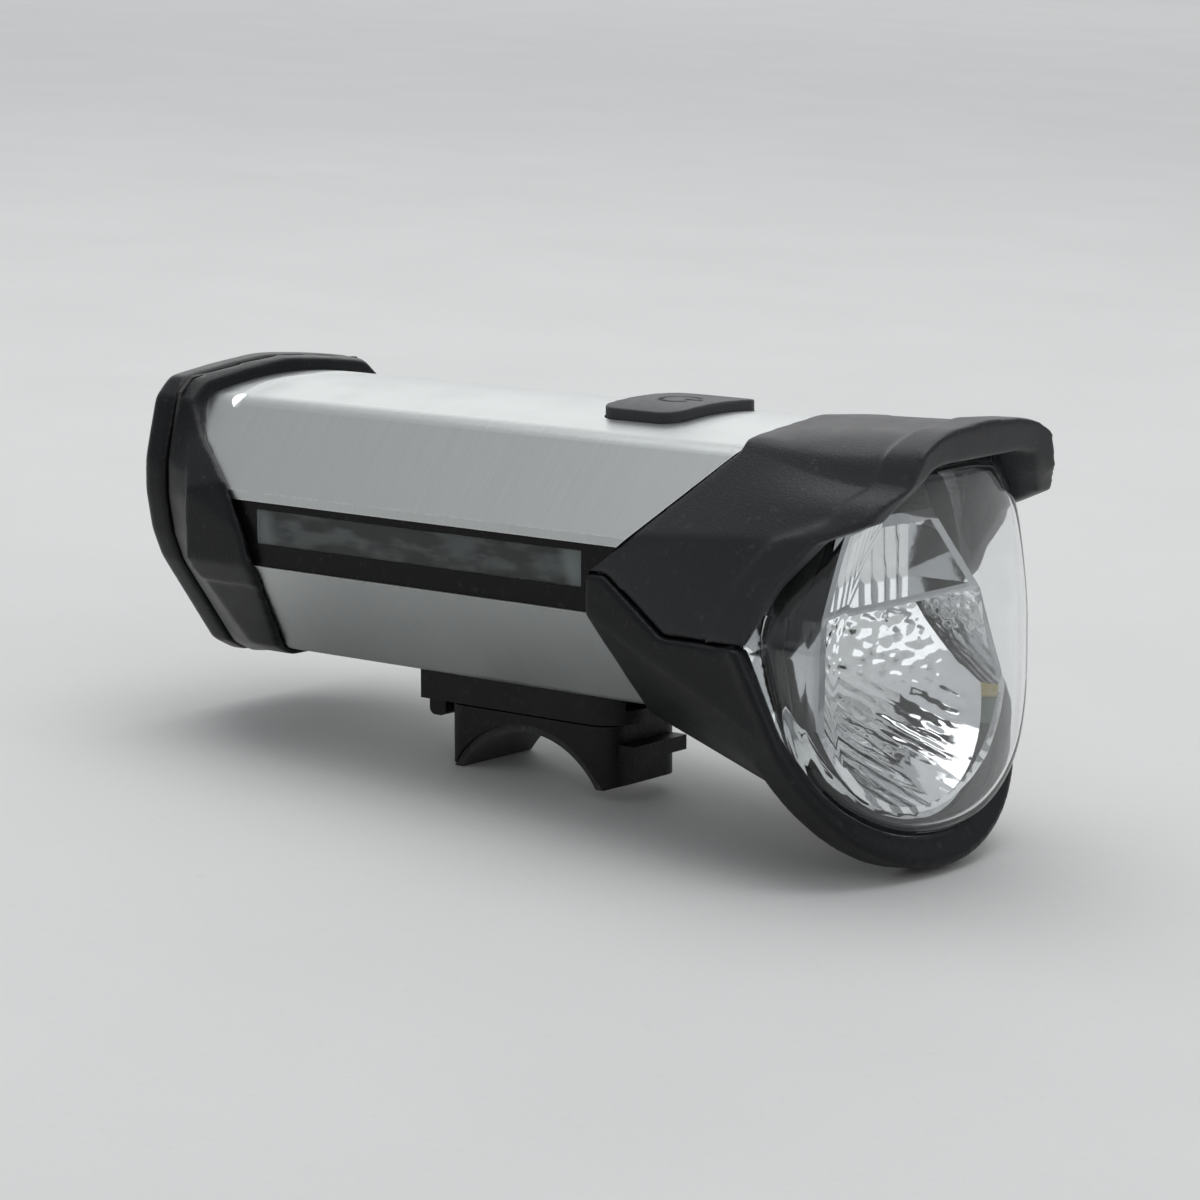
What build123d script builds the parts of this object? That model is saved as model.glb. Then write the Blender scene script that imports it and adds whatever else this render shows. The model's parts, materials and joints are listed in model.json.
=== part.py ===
# Battery bike headlight: an extruded aluminium tube with a black head, a clear
# wrap-round lens over a mirror reflector, a chevron rear cap and a handlebar bracket.
# Millimetres. -Y is the way the beam points, +Z is up, X is across and symmetric.
# The lamp is drawn level in its own frame, with the tube's underside at z = 0 and the
# button near y = 0. At the end it is tipped nose-up, so that it lies on Z = 0 on the
# rim of its head and the rear foot of its bracket.

import math
import os

from build123d import *

os.makedirs("parts", exist_ok=True)

# Tube
TUBE_HEIGHT = 33.2
TUBE_HALF_WIDTH = 22.3
TUBE_WALL = 1.2
CROWN_HALF_WIDTH = 14.0
CROWN_SAG = 1.5
SHOULDER_RADIUS = 3.5
LEDGE_DROP = 11.6
LEDGE_THICKNESS = 1.1
CHANNEL_HEIGHT = 7.9
CHANNEL_DEPTH = 1.9
BOTTOM_HALF_WIDTH = 10.6
BOTTOM_RADIUS = 2.0
TUBE_FRONT_Y = -1.0

# Side strips, windows and the boards behind them
STRIP_THICKNESS = 1.5
WINDOW_FRONT_Y = 0.2
WINDOW_REAR_Y = 51.0
WINDOW_HEIGHT = 4.1
WINDOW_RAISE = 0.9
WINDOW_THICKNESS = 0.8
SIDE_BOARD_THICKNESS = 0.4
POCKET_GAP = 0.05

# Rear collar, seal and cover
COLLAR_STAND = 0.9
COLLAR_LIP = 0.5
COLLAR_TOP_Y = 66.4
COLLAR_SHOULDER_Y = 63.7
COLLAR_SHOULDER_DROP = 5.4
COLLAR_POINT_Y = 51.0
COLLAR_FOOT_Y = 57.0
COLLAR_REAR_Y = 68.6
CAP_WALL = 1.3
CAP_END_WALL = 2.0
CAP_TAPER_Y = 61.5
CAP_OVERLAP = 0.7
TAIL_SKIN = 1.0
CAP_REAR_TOP = 35.3
CAP_REAR_TOP_HALF = 17.2
CAP_REAR_SIDE = 20.1
CAP_REAR_LOW = 18.4
CAP_REAR_FOOT_HALF = 7.4
CAP_REAR_FOOT = -2.3
SEAL_THICKNESS = 0.6
SEAL_INSET = 0.8
COVER_LENGTH = 4.4
COVER_ROUNDING = 2.0
COVER_EDGE = 1.2

# Charging port and its flap
PORT_Z = 15.0
PORT_WIDTH = 9.0
PORT_HEIGHT = 3.2
PORT_LENGTH = 4.0
PORT_WALL = 0.4
FLAP_WIDTH = 16.0
FLAP_HEIGHT = 8.4
FLAP_THICKNESS = 1.3
FLAP_GAP = 0.3
FLAP_BARREL_RADIUS = 1.0
FLAP_PIN_RADIUS = 0.5
PIN_GAP = 0.05

# Head
HEAD_STAND = 0.6
HEAD_WALL = 1.9
VISOR_TOP_Y = -16.6
VISOR_LEDGE_Y = -6.7
VISOR_TIP_Y = -40.4
VISOR_TIP_TOP = 34.9
VISOR_TIP_SHOULDER_X = 12.4
VISOR_TIP_SHOULDER_Z = 34.0
VISOR_TIP_KNEE_X = 17.9
VISOR_TIP_KNEE_Z = 24.0
VISOR_TIP_LOW_X = 24.6
VISOR_BROW_Y = -39.5
VISOR_BROW_Z = 31.0
KNEE_FRONT_Y = -36.8
KNEE_FRONT_Z = 25.4
KNEE_REAR_Y = -30.5
KNEE_REAR_Z = 22.9
CHEEK_Y = -26.0
CHEEK_Z = 17.5
RIM_CORNER_X = 23.8
RIM_CORNER_Y = -23.0
RIM_CORNER_Z = 11.0
RIM_SIDE_X = 22.5
RIM_SIDE_Z = 0.0
RIM_BOTTOM_Y = -36.0
RIM_BOTTOM_Z = -14.9
RIM_BAND = 5.2
RIM_STAND = 0.6
RIM_TAPER = 20.0
RIM_EDGE = 0.7
SEAM_REAR_Z = 17.2
SEAM_BEND_Y = -3.7
SEAM_LEVEL_Y = -11.8
SEAM_GAP = 0.12
NOSE_WALL_Y = -19.5
NOSE_WALL = 1.5
NOSE_SEAT = 2.6

# Lens and its seal
LENS_TOP_Z = 31.0
LENS_TOP_X = 10.0
LENS_KNEE_X = 15.4
LENS_KNEE_Z = 24.6
LENS_SIDE_X = 20.9
LENS_SIDE_Z = 12.0
LENS_LOW_Z = 1.5
LENS_BOTTOM_Z = -11.9
LENS_FRONT_Y = -36.2
LENS_BOW_RADIUS = 60.0
LENS_WALL = 1.5
LENS_REAR_Y = -21.6
LENS_GAP = 0.12
LENS_SEAL = 0.7

# Reflector, light source and cooler
REFLECTOR_FLANGE = 1.4
REFLECTOR_TOP_Z = 23.4
REFLECTOR_TOP_X = 8.6
REFLECTOR_SHELF_X = 15.2
REFLECTOR_SIDE_X = 17.9
REFLECTOR_SIDE_Z = 2.0
REFLECTOR_BOTTOM_Z = -10.2
REFLECTOR_FRONT_Y = -28.4
REFLECTOR_TOP_Y = -26.0
REFLECTOR_BOTTOM_Y = -32.0
REFLECTOR_WALL = 1.2
SHELF_Z = 13.6
SHELF_THICKNESS = 0.8
BOWL_RADIUS = 20.6
BOWL_DEPTH = 17.0
FACE_DEPTH = 5.0
FLUTE_RADIUS = 1.6
FLUTE_DEPTH = 0.5
LED_BOARD_WIDTH = 12.0
LED_BOARD_LENGTH = 9.8
LED_BOARD_THICKNESS = 1.0
LED_SIZE = 3.5
LED_HEIGHT = 0.9
COOLER_BASE = 2.0
COOLER_FIN_HEIGHT = 5.0
COOLER_FIN_THICKNESS = 1.2
COOLER_FINS = 5

# Cells and electronics
CELL_RADIUS = 9.2
CELL_LENGTH = 64.8
CELL_GAP = 0.4
CELL_Z = 16.0
CELL_FRONT_Y = 0.9
CRADLE_TOP_Z = 9.0
CONTACT_THICKNESS = 0.5
CONTACT_SIZE = 8.0
BOARD_WIDTH = 24.0
BOARD_LENGTH = 40.0
BOARD_THICKNESS = 1.2
BOARD_LIFT = 0.2

# Button
BUTTON_LENGTH = 11.4
BUTTON_WIDTH = 17.0
BUTTON_Y = 3.2
BUTTON_STAND = 1.3
BUTTON_RADIUS = 2.6
BUTTON_TRAVEL = 0.6
BUTTON_GAP = 0.15
BUTTON_FLANGE = 1.0
BUTTON_FLANGE_HEIGHT = 1.2
BUTTON_STEM_RADIUS = 2.0
GLYPH_RADIUS = 2.6
GLYPH_LINE = 0.5
GLYPH_DEPTH = 0.35
SWITCH_SIZE = 6.0
SWITCH_HEIGHT = 1.6
SWITCH_GAP = 0.05

# Bracket
RAIL_NECK_HALF = 3.0
RAIL_HALF = 4.5
RAIL_NECK_HEIGHT = 1.3
RAIL_FLANGE = 1.3
RAIL_FRONT_Y = 10.5
RAIL_LENGTH = 22.5
SLIDE_GAP = 0.1
HOUSING_WIDTH = 14.0
HOUSING_FRONT_Y = 7.0
HOUSING_REAR_Y = 34.6
HOUSING_TOP_GAP = 0.3
HOUSING_FLOOR = 1.7
HOUSING_ROUNDING = 5.0
EAR_THICKNESS = 1.3
EAR_LENGTH = 2.6
TAB_GAP = 0.3
TAB_CLEAR = 0.9
TAB_THICKNESS = 2.6
TAB_TOP_Z = -0.9
TAB_BOTTOM_Z = -6.6
TAB_PIN_Z = -2.4
TAB_PIN_RADIUS = 0.4
TAB_RIB_RADIUS = 0.35
TAB_RIB_PITCH = 0.95
TAB_NOTCH = 2.4
SPRING_WIRE = 0.2
SPRING_TURNS = 4
SADDLE_GAP = 0.2
SADDLE_BOTTOM_Z = -12.2
SADDLE_Y = 21.3
SADDLE_LENGTH = 26.0
SADDLE_ROUNDING = 3.0
BAR_RADIUS = 12.7
BAR_SAGITTA = 5.6
BAR_PAD = 1.0
PAD_PROUD = 0.4
PIVOT_RADIUS = 2.6
PIVOT_HEAD_RADIUS = 3.7
PIVOT_HEAD_HEIGHT = 0.7
PIVOT_SHANK_RADIUS = 1.0
PIVOT_SHANK_LENGTH = 1.4
HOOK_LENGTH = 2.2
HOOK_HEIGHT = 1.8
HOOK_WIDTH = 10.0
HOOK_Z = -7.6

# Fasteners
SCREW_RADIUS = 1.0
SCREW_HEAD_RADIUS = 1.8
SCREW_HEAD_HEIGHT = 1.0
SCREW_SLOT = 0.5
COVER_SCREW_X = 12.5
COVER_SCREW_Z = 26.5
COVER_SCREW_LENGTH = 6.4
RAIL_SCREW_INSET = 4.0

SHOULDER_Z = TUBE_HEIGHT - CROWN_SAG
LEDGE_Z = TUBE_HEIGHT - LEDGE_DROP
CHANNEL_TOP_Z = LEDGE_Z - LEDGE_THICKNESS
CHANNEL_BOTTOM_Z = CHANNEL_TOP_Z - CHANNEL_HEIGHT
CHANNEL_MID_Z = (CHANNEL_TOP_Z + CHANNEL_BOTTOM_Z) / 2
CHANNEL_X = TUBE_HALF_WIDTH - CHANNEL_DEPTH
CAVITY_TOP_Z = SHOULDER_Z - TUBE_WALL
TUBE_REAR_Y = CAP_TAPER_Y - CAP_OVERLAP
TAIL_REAR_Y = COLLAR_REAR_Y - CAP_END_WALL - POCKET_GAP
COVER_FRONT_Y = COLLAR_REAR_Y + SEAL_THICKNESS
COVER_REAR_Y = COVER_FRONT_Y + COVER_LENGTH
RAIL_BOTTOM_Z = -RAIL_NECK_HEIGHT - RAIL_FLANGE
FLOOR_TOP_Z = RAIL_BOTTOM_Z
HOUSING_BOTTOM_Z = FLOOR_TOP_Z - HOUSING_FLOOR
SADDLE_TOP_Z = HOUSING_BOTTOM_Z - SADDLE_GAP
BAR_Z = SADDLE_BOTTOM_Z + BAR_SAGITTA - BAR_RADIUS
BOARD_Z = CELL_Z + CELL_RADIUS + BOARD_LIFT
FAR = 100.0
LOW = (Align.CENTER, Align.CENTER, Align.MIN)


def face_of(*lines):
    edges = [edge for line in lines for edge in line.edges()]
    return make_face(edges)


def side_view(*points):
    """What a profile of (y, z) points holds, right across the lamp."""
    face = make_face(Polyline(*points, close=True).edges())
    return extrude(Plane.YZ * face, FAR / 2, both=True)


def run(face, y_from, y_to):
    """A face drawn in x and z, run along the lamp."""
    return extrude(Plane.XZ.offset(-y_to) * face, y_to - y_from)


def both_sides(right):
    """The right half's points from the top down, then the left half's going up."""
    left = [(-x, z) for x, z in reversed(right)]
    return list(right) + left


def polygon(right):
    return make_face(Polyline(*both_sides(right), close=True).edges())


def slab(y_from, y_to):
    return Pos(0, y_from, 0) * Box(FAR, y_to - y_from, FAR, align=(Align.CENTER, Align.MIN, Align.CENTER))


def rod_x(radius, length, y, z):
    return Pos(0, y, z) * Rot(Y=90) * Cylinder(radius, length)


def rod_y(radius, x, y_from, y_to, z):
    middle = (y_from + y_to) / 2
    return Pos(x, middle, z) * Rot(X=90) * Cylinder(radius, y_to - y_from)


def on_left(shape):
    return mirror(shape, about=Plane.YZ)


def crowned(right, crown_top):
    """A section whose top is an arc through crown_top between the first points."""
    loop = both_sides(right)
    crown = ThreePointArc(loop[-1], (0, crown_top), loop[0])
    return face_of(crown, Polyline(*loop))


def rounded(face, z_low, z_high, radius):
    corners = [v for v in face.vertices() if z_low < v.Y < z_high]
    return fillet(corners, radius)


def tube_section():
    right = [
        (CROWN_HALF_WIDTH, SHOULDER_Z),
        (TUBE_HALF_WIDTH, LEDGE_Z),
        (TUBE_HALF_WIDTH, CHANNEL_TOP_Z),
        (CHANNEL_X, CHANNEL_TOP_Z),
        (CHANNEL_X, CHANNEL_BOTTOM_Z),
        (TUBE_HALF_WIDTH, CHANNEL_BOTTOM_Z),
        (BOTTOM_HALF_WIDTH, 0),
    ]
    face = crowned(right, TUBE_HEIGHT)
    face = rounded(face, SHOULDER_Z - 0.1, SHOULDER_Z + 0.1, SHOULDER_RADIUS)
    return rounded(face, -0.1, 0.1, BOTTOM_RADIUS)


def plain_section(grow=0.0):
    """The tube's section without its channels, larger all round by grow."""
    right = [
        (CROWN_HALF_WIDTH, SHOULDER_Z),
        (TUBE_HALF_WIDTH, LEDGE_Z),
        (TUBE_HALF_WIDTH, CHANNEL_BOTTOM_Z),
        (BOTTOM_HALF_WIDTH, 0),
    ]
    face = crowned(right, TUBE_HEIGHT)
    face = rounded(face, SHOULDER_Z - 0.1, SHOULDER_Z + 0.1, SHOULDER_RADIUS)
    face = rounded(face, -0.1, 0.1, BOTTOM_RADIUS)
    if grow:
        face = offset(face, grow, kind=Kind.INTERSECTION)
    return face


def cavity_section(gap=0.0):
    inner = TUBE_WALL + gap
    right = [
        (CROWN_HALF_WIDTH - inner / 2, SHOULDER_Z - inner),
        (CHANNEL_X - inner, LEDGE_Z),
        (CHANNEL_X - inner, CHANNEL_BOTTOM_Z),
        (BOTTOM_HALF_WIDTH - inner, inner),
    ]
    return polygon(right)


# Regions that several pieces share, seen from the side

def head_zone(gap=0.0):
    """All that lies ahead of the head's rear edge, moved forward by gap."""
    return side_view(
        (VISOR_TOP_Y - gap, FAR), (VISOR_TOP_Y - gap, SHOULDER_Z - gap), (VISOR_LEDGE_Y - gap, LEDGE_Z),
        (TUBE_FRONT_Y - gap, SEAM_REAR_Z), (TUBE_FRONT_Y - gap, -FAR), (-FAR, -FAR), (-FAR, FAR))


def collar_zone(gap=0.0):
    """All that lies behind the collar's front edge, moved back by gap."""
    return side_view(
        (COLLAR_TOP_Y + gap, FAR), (COLLAR_TOP_Y + gap, SHOULDER_Z),
        (COLLAR_SHOULDER_Y + gap, TUBE_HEIGHT - COLLAR_SHOULDER_DROP),
        (COLLAR_POINT_Y + gap, CHANNEL_BOTTOM_Z + COLLAR_LIP), (COLLAR_POINT_Y + gap, CHANNEL_BOTTOM_Z - COLLAR_LIP),
        (COLLAR_FOOT_Y + gap, 0),
        (COLLAR_FOOT_Y + gap, -FAR), (FAR, -FAR), (FAR, FAR))


def button_outline(grow=0.0):
    return RectangleRounded(BUTTON_WIDTH + 2 * grow, BUTTON_LENGTH + 2 * grow, BUTTON_RADIUS + grow)


def tail(gap=0.0):
    """The crown and upper sides of the tube run on under the cap, where it tapers."""
    bar = run(plain_section(gap), TUBE_REAR_Y - 1, TAIL_REAR_Y + gap)
    return bar & collar_form(TAIL_SKIN - gap) & (Pos(0, COLLAR_REAR_Y, 0) * above(LEDGE_Z - gap))


# Tube, strips and windows

def body_tube():
    solid = run(tube_section(), -FAR / 4, TUBE_REAR_Y) + tail()
    solid -= head_zone()
    solid -= run(cavity_section(), -FAR / 2, FAR)
    solid -= Pos(0, BUTTON_Y, CAVITY_TOP_Z - 1) * extrude(button_outline(BUTTON_GAP), FAR / 10)
    for y in rail_screw_ys():
        solid -= Pos(0, y, 0) * Cylinder(SCREW_RADIUS, 4 * TUBE_WALL)
    return solid


def channel_bar(depth, x_outer, y_from, y_to, z_middle, height):
    bar = Box(depth, y_to - y_from, height, align=(Align.MAX, Align.MIN, Align.CENTER))
    return Pos(x_outer, y_from, z_middle) * bar


STRIP_X = CHANNEL_X + STRIP_THICKNESS
WINDOW_Z = CHANNEL_MID_Z + WINDOW_RAISE
POCKET_DEPTH = WINDOW_THICKNESS + SIDE_BOARD_THICKNESS


def side_strip():
    strip = channel_bar(STRIP_THICKNESS, STRIP_X, VISOR_LEDGE_Y, TUBE_REAR_Y, CHANNEL_MID_Z, CHANNEL_HEIGHT)
    strip -= head_zone(-POCKET_GAP)
    strip -= channel_bar(POCKET_DEPTH, STRIP_X, WINDOW_FRONT_Y - POCKET_GAP, WINDOW_REAR_Y + POCKET_GAP,
                         WINDOW_Z, WINDOW_HEIGHT + 2 * POCKET_GAP)
    return strip


def side_window():
    return channel_bar(WINDOW_THICKNESS, STRIP_X, WINDOW_FRONT_Y, WINDOW_REAR_Y, WINDOW_Z, WINDOW_HEIGHT)


def side_board():
    return channel_bar(SIDE_BOARD_THICKNESS, STRIP_X - WINDOW_THICKNESS, WINDOW_FRONT_Y, WINDOW_REAR_Y,
                       WINDOW_Z, WINDOW_HEIGHT)


# Rear end

def eased(loop, size):
    """A loop of corners with each cut off at the given size, but for those on the middle line."""
    points = []
    for before, corner, after in zip(loop[-1:] + loop[:-1], loop, loop[1:] + loop[:1]):
        if corner[0] == 0:
            points.append(corner)
            continue
        for other in (before, after):
            part_way = size / math.dist(corner, other)
            x = corner[0] + (other[0] - corner[0]) * part_way
            z = corner[1] + (other[1] - corner[1]) * part_way
            points.append((x, z))
    return points


def cap_faces(inset=0.0):
    """The outline of collar and cover: the tube's hexagon in front, a narrower one behind."""
    front = [
        (0, TUBE_HEIGHT + COLLAR_STAND),
        (CROWN_HALF_WIDTH + COLLAR_STAND, SHOULDER_Z + COLLAR_STAND),
        (TUBE_HALF_WIDTH + COLLAR_STAND, LEDGE_Z),
        (TUBE_HALF_WIDTH + COLLAR_STAND, CHANNEL_BOTTOM_Z),
        (BOTTOM_HALF_WIDTH + COLLAR_STAND, -COLLAR_STAND),
    ]
    rear = [
        (0, CAP_REAR_TOP),
        (CAP_REAR_TOP_HALF, CAP_REAR_TOP - COLLAR_STAND),
        (CAP_REAR_SIDE, LEDGE_Z),
        (CAP_REAR_LOW, CHANNEL_BOTTOM_Z),
        (CAP_REAR_FOOT_HALF, CAP_REAR_FOOT),
    ]
    faces = []
    for right in (front, rear):
        loop = eased(right + [(-x, z) for x, z in reversed(right[1:])], COVER_ROUNDING)
        face = make_face(Polyline(*loop, close=True).edges())
        if inset:
            face = offset(face, -inset, kind=Kind.INTERSECTION)
        faces.append(face)
    return faces


def collar_form(inset=0.0):
    front, rear = cap_faces(inset)
    places = ((front, COLLAR_POINT_Y - 1), (front, CAP_TAPER_Y), (rear, COLLAR_REAR_Y))
    return loft([Plane.XZ.offset(-y) * face for face, y in places], ruled=True)


def long_edges(solid, y_from, y_to):
    """The edges that run along the lamp, but not those on its middle line."""
    found = []
    for edge in solid.edges():
        box = edge.bounding_box()
        if box.min.Y < y_from and box.max.Y > y_to and abs(edge.center().X) > 1:
            found.append(edge)
    return found


def port_way():
    """The opening for the charging port and its wires through collar and seal."""
    return Pos(0, COLLAR_REAR_Y, PORT_Z) * Box(PORT_WIDTH + 2, 3 * CAP_END_WALL, PORT_HEIGHT + 2)


def rear_collar():
    collar = collar_form() & collar_zone()
    collar -= run(plain_section(POCKET_GAP), 0, TUBE_REAR_Y)
    collar -= tail(POCKET_GAP)
    collar -= (collar_form(CAP_WALL) & run(cavity_section(), TUBE_REAR_Y - 1, COLLAR_REAR_Y - CAP_END_WALL))
    collar -= port_way()
    for x in (-COVER_SCREW_X, COVER_SCREW_X):
        collar -= rod_y(SCREW_RADIUS, x, TUBE_REAR_Y, COVER_REAR_Y, COVER_SCREW_Z)
    return collar


def rear_seal():
    seal = run(cap_faces(SEAL_INSET)[1], COLLAR_REAR_Y, COVER_FRONT_Y)
    seal -= port_way()
    for x in (-COVER_SCREW_X, COVER_SCREW_X):
        seal -= rod_y(SCREW_RADIUS, x, TUBE_REAR_Y, COVER_REAR_Y, COVER_SCREW_Z)
    return seal


FLAP_BASE_Z = PORT_Z - FLAP_HEIGHT / 2
FLAP_PIN_Y = COVER_REAR_Y - FLAP_BARREL_RADIUS


def rear_cover():
    cover = run(cap_faces()[1], COVER_FRONT_Y, COVER_REAR_Y)
    rear_rim = cover.faces().sort_by(Axis.Y)[-1].outer_wire().edges()
    cover = chamfer(rear_rim, COVER_EDGE)
    seat = Box(FLAP_WIDTH + 2 * FLAP_GAP, FLAP_THICKNESS + FLAP_GAP, FLAP_HEIGHT + 2 * FLAP_GAP,
               align=(Align.CENTER, Align.MAX, Align.CENTER))
    cover -= Pos(0, COVER_REAR_Y, PORT_Z) * seat
    cover -= rod_x(FLAP_BARREL_RADIUS + FLAP_GAP, FLAP_WIDTH + 2 * FLAP_GAP, FLAP_PIN_Y, FLAP_BASE_Z)
    trough = Box(FLAP_WIDTH + 2 * FLAP_GAP, FLAP_BARREL_RADIUS, 2 * (FLAP_BARREL_RADIUS + FLAP_GAP),
                 align=(Align.CENTER, Align.MAX, Align.CENTER))
    cover -= Pos(0, COVER_REAR_Y, FLAP_BASE_Z) * trough
    cover -= rod_x(FLAP_PIN_RADIUS, flap_pin_length(), FLAP_PIN_Y, FLAP_BASE_Z)
    cover -= Pos(0, COVER_REAR_Y, PORT_Z) * Box(PORT_WIDTH, 3 * COVER_LENGTH, PORT_HEIGHT)
    for x in (-COVER_SCREW_X, COVER_SCREW_X):
        cover -= rod_y(SCREW_RADIUS, x, COVER_FRONT_Y - 1, COVER_REAR_Y + 1, COVER_SCREW_Z)
        cover -= rod_y(SCREW_HEAD_RADIUS + POCKET_GAP, x, COVER_REAR_Y - SCREW_HEAD_HEIGHT, COVER_REAR_Y + 1,
                       COVER_SCREW_Z)
    return cover


def flap_pin_length():
    return FLAP_WIDTH + 2 * FLAP_GAP + 2.0


def flap_pin():
    return rod_x(FLAP_PIN_RADIUS, flap_pin_length(), FLAP_PIN_Y, FLAP_BASE_Z)


def port_flap():
    plate = Box(FLAP_WIDTH, FLAP_THICKNESS, FLAP_HEIGHT, align=(Align.CENTER, Align.MAX, Align.MIN))
    flap = Pos(0, COVER_REAR_Y, FLAP_BASE_Z) * plate
    flap += rod_x(FLAP_BARREL_RADIUS, FLAP_WIDTH, FLAP_PIN_Y, FLAP_BASE_Z)
    flap -= rod_x(FLAP_PIN_RADIUS + PIN_GAP, 2 * FLAP_WIDTH, FLAP_PIN_Y, FLAP_BASE_Z)
    return flap


def charge_port():
    seat_y = COVER_REAR_Y - FLAP_THICKNESS - FLAP_GAP - FLAP_GAP
    shell = Box(PORT_WIDTH, PORT_LENGTH, PORT_HEIGHT, align=(Align.CENTER, Align.MAX, Align.CENTER))
    room = Box(PORT_WIDTH - 2 * PORT_WALL, PORT_LENGTH - PORT_WALL, PORT_HEIGHT - 2 * PORT_WALL,
               align=(Align.CENTER, Align.MAX, Align.CENTER))
    tongue = Box(PORT_WIDTH / 2, PORT_LENGTH - 1, PORT_WALL, align=(Align.CENTER, Align.MAX, Align.CENTER))
    return Pos(0, seat_y, PORT_Z) * (shell - room + Pos(0, -1, 0) * tongue)


def screw_y(x, z, y_head_top, length):
    """A screw driven in from the rear."""
    screw = rod_y(SCREW_HEAD_RADIUS, x, y_head_top - SCREW_HEAD_HEIGHT, y_head_top, z)
    screw += rod_y(SCREW_RADIUS, x, y_head_top - length, y_head_top - SCREW_HEAD_HEIGHT, z)
    for turn in (0, 90):
        slot = Rot(Y=turn) * Box(2 * SCREW_RADIUS, SCREW_SLOT, SCREW_SLOT)
        screw -= Pos(x, y_head_top, z) * slot
    return screw


def rear_screws():
    return [screw_y(x, COVER_SCREW_Z, COVER_REAR_Y, COVER_SCREW_LENGTH) for x in (-COVER_SCREW_X, COVER_SCREW_X)]


# Head: outer forms

def along(y):
    """How far y lies from the tube's front edge (0) to the visor's tip (1)."""
    return (TUBE_FRONT_Y - y) / (TUBE_FRONT_Y - VISOR_TIP_Y)


def upper_face(y, grow=0.0):
    rear = [
        (0, TUBE_HEIGHT + HEAD_STAND),
        (CROWN_HALF_WIDTH + HEAD_STAND / 2, SHOULDER_Z + HEAD_STAND),
        (TUBE_HALF_WIDTH + HEAD_STAND, LEDGE_Z),
        (TUBE_HALF_WIDTH + HEAD_STAND, 0),
    ]
    tip = [
        (0, VISOR_TIP_TOP),
        (VISOR_TIP_SHOULDER_X, VISOR_TIP_SHOULDER_Z),
        (VISOR_TIP_KNEE_X, VISOR_TIP_KNEE_Z),
        (VISOR_TIP_LOW_X, 0),
    ]
    t = along(y)
    right = [(a[0] + (b[0] - a[0]) * t, a[1] + (b[1] - a[1]) * t) for a, b in zip(rear, tip)]
    loop = right + [(-x, z) for x, z in reversed(right[1:])]
    face = make_face(Polyline(*loop, close=True).edges())
    if grow:
        face = offset(face, grow, kind=Kind.INTERSECTION)
    return Plane.XZ.offset(-y) * face


def upper_form(grow=0.0):
    form = loft([upper_face(5, grow), upper_face(-45, grow)], ruled=True)
    shoulders = [e for e in long_edges(form, -40, 0) if e.center().Z > LEDGE_Z + 2 and abs(e.center().X) > 1]
    return fillet(shoulders, SHOULDER_RADIUS / 2)


RIM_TILT = math.degrees(math.atan2(RIM_CORNER_Y - RIM_BOTTOM_Y, RIM_CORNER_Z - RIM_BOTTOM_Z))
RIM_PLANE = Plane(
    origin=(0, RIM_CORNER_Y, RIM_CORNER_Z), x_dir=(1, 0, 0),
    z_dir=(0, -math.cos(math.radians(RIM_TILT)), math.sin(math.radians(RIM_TILT))))


def rim_face(grow=0.0):
    """The lower rim as drawn in its own tilted plane: straight cheeks on a round base."""
    stretch = 1 / math.cos(math.radians(RIM_TILT))
    side = (RIM_SIDE_Z - RIM_CORNER_Z) * stretch
    base = (RIM_BOTTOM_Z - RIM_CORNER_Z) * stretch
    rise = side - base
    radius = (RIM_SIDE_X ** 2 + rise ** 2) / (2 * rise)
    turn = math.asin(RIM_SIDE_X / radius) / 3
    bend_x = radius * math.sin(turn)
    bend_y = base + radius * (1 - math.cos(turn))
    mid_x = radius * math.sin(2 * turn)
    mid_y = base + radius * (1 - math.cos(2 * turn))
    top = 9.0
    face = face_of(
        Line((-RIM_CORNER_X, top), (RIM_CORNER_X, top)),
        Line((RIM_CORNER_X, top), (RIM_SIDE_X, side)),
        ThreePointArc((RIM_SIDE_X, side), (mid_x, mid_y), (bend_x, bend_y)),
        ThreePointArc((bend_x, bend_y), (0, base), (-bend_x, bend_y)),
        ThreePointArc((-bend_x, bend_y), (-mid_x, mid_y), (-RIM_SIDE_X, side)),
        Line((-RIM_SIDE_X, side), (-RIM_CORNER_X, top)))
    if grow:
        face = offset(face, grow, kind=Kind.INTERSECTION)
    return face


def throat_face(grow=0.0):
    """The lower shell's rear section, just outside the tube's."""
    right = [
        (TUBE_HALF_WIDTH + HEAD_STAND, LEDGE_Z),
        (TUBE_HALF_WIDTH + HEAD_STAND, CHANNEL_BOTTOM_Z),
        (BOTTOM_HALF_WIDTH + HEAD_STAND, -HEAD_STAND),
    ]
    face = polygon(right)
    if grow:
        face = offset(face, grow, kind=Kind.INTERSECTION)
    return face


def lower_form(grow=0.0):
    rear = Plane.XZ.offset(-TUBE_FRONT_Y) * throat_face(grow)
    front = RIM_PLANE * rim_face(grow)
    return loft([rear, front], ruled=True)


def visor_edge(shift=0.0):
    """The upper front edge from the side, moved back by shift."""
    return [
        (VISOR_TIP_Y + shift, FAR), (VISOR_TIP_Y + shift, VISOR_TIP_TOP), (VISOR_BROW_Y + shift, VISOR_BROW_Z),
        (KNEE_FRONT_Y + shift, KNEE_FRONT_Z), (KNEE_REAR_Y + shift, KNEE_REAR_Z), (CHEEK_Y + shift, CHEEK_Z),
        (RIM_CORNER_Y + shift, RIM_CORNER_Z)]


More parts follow.
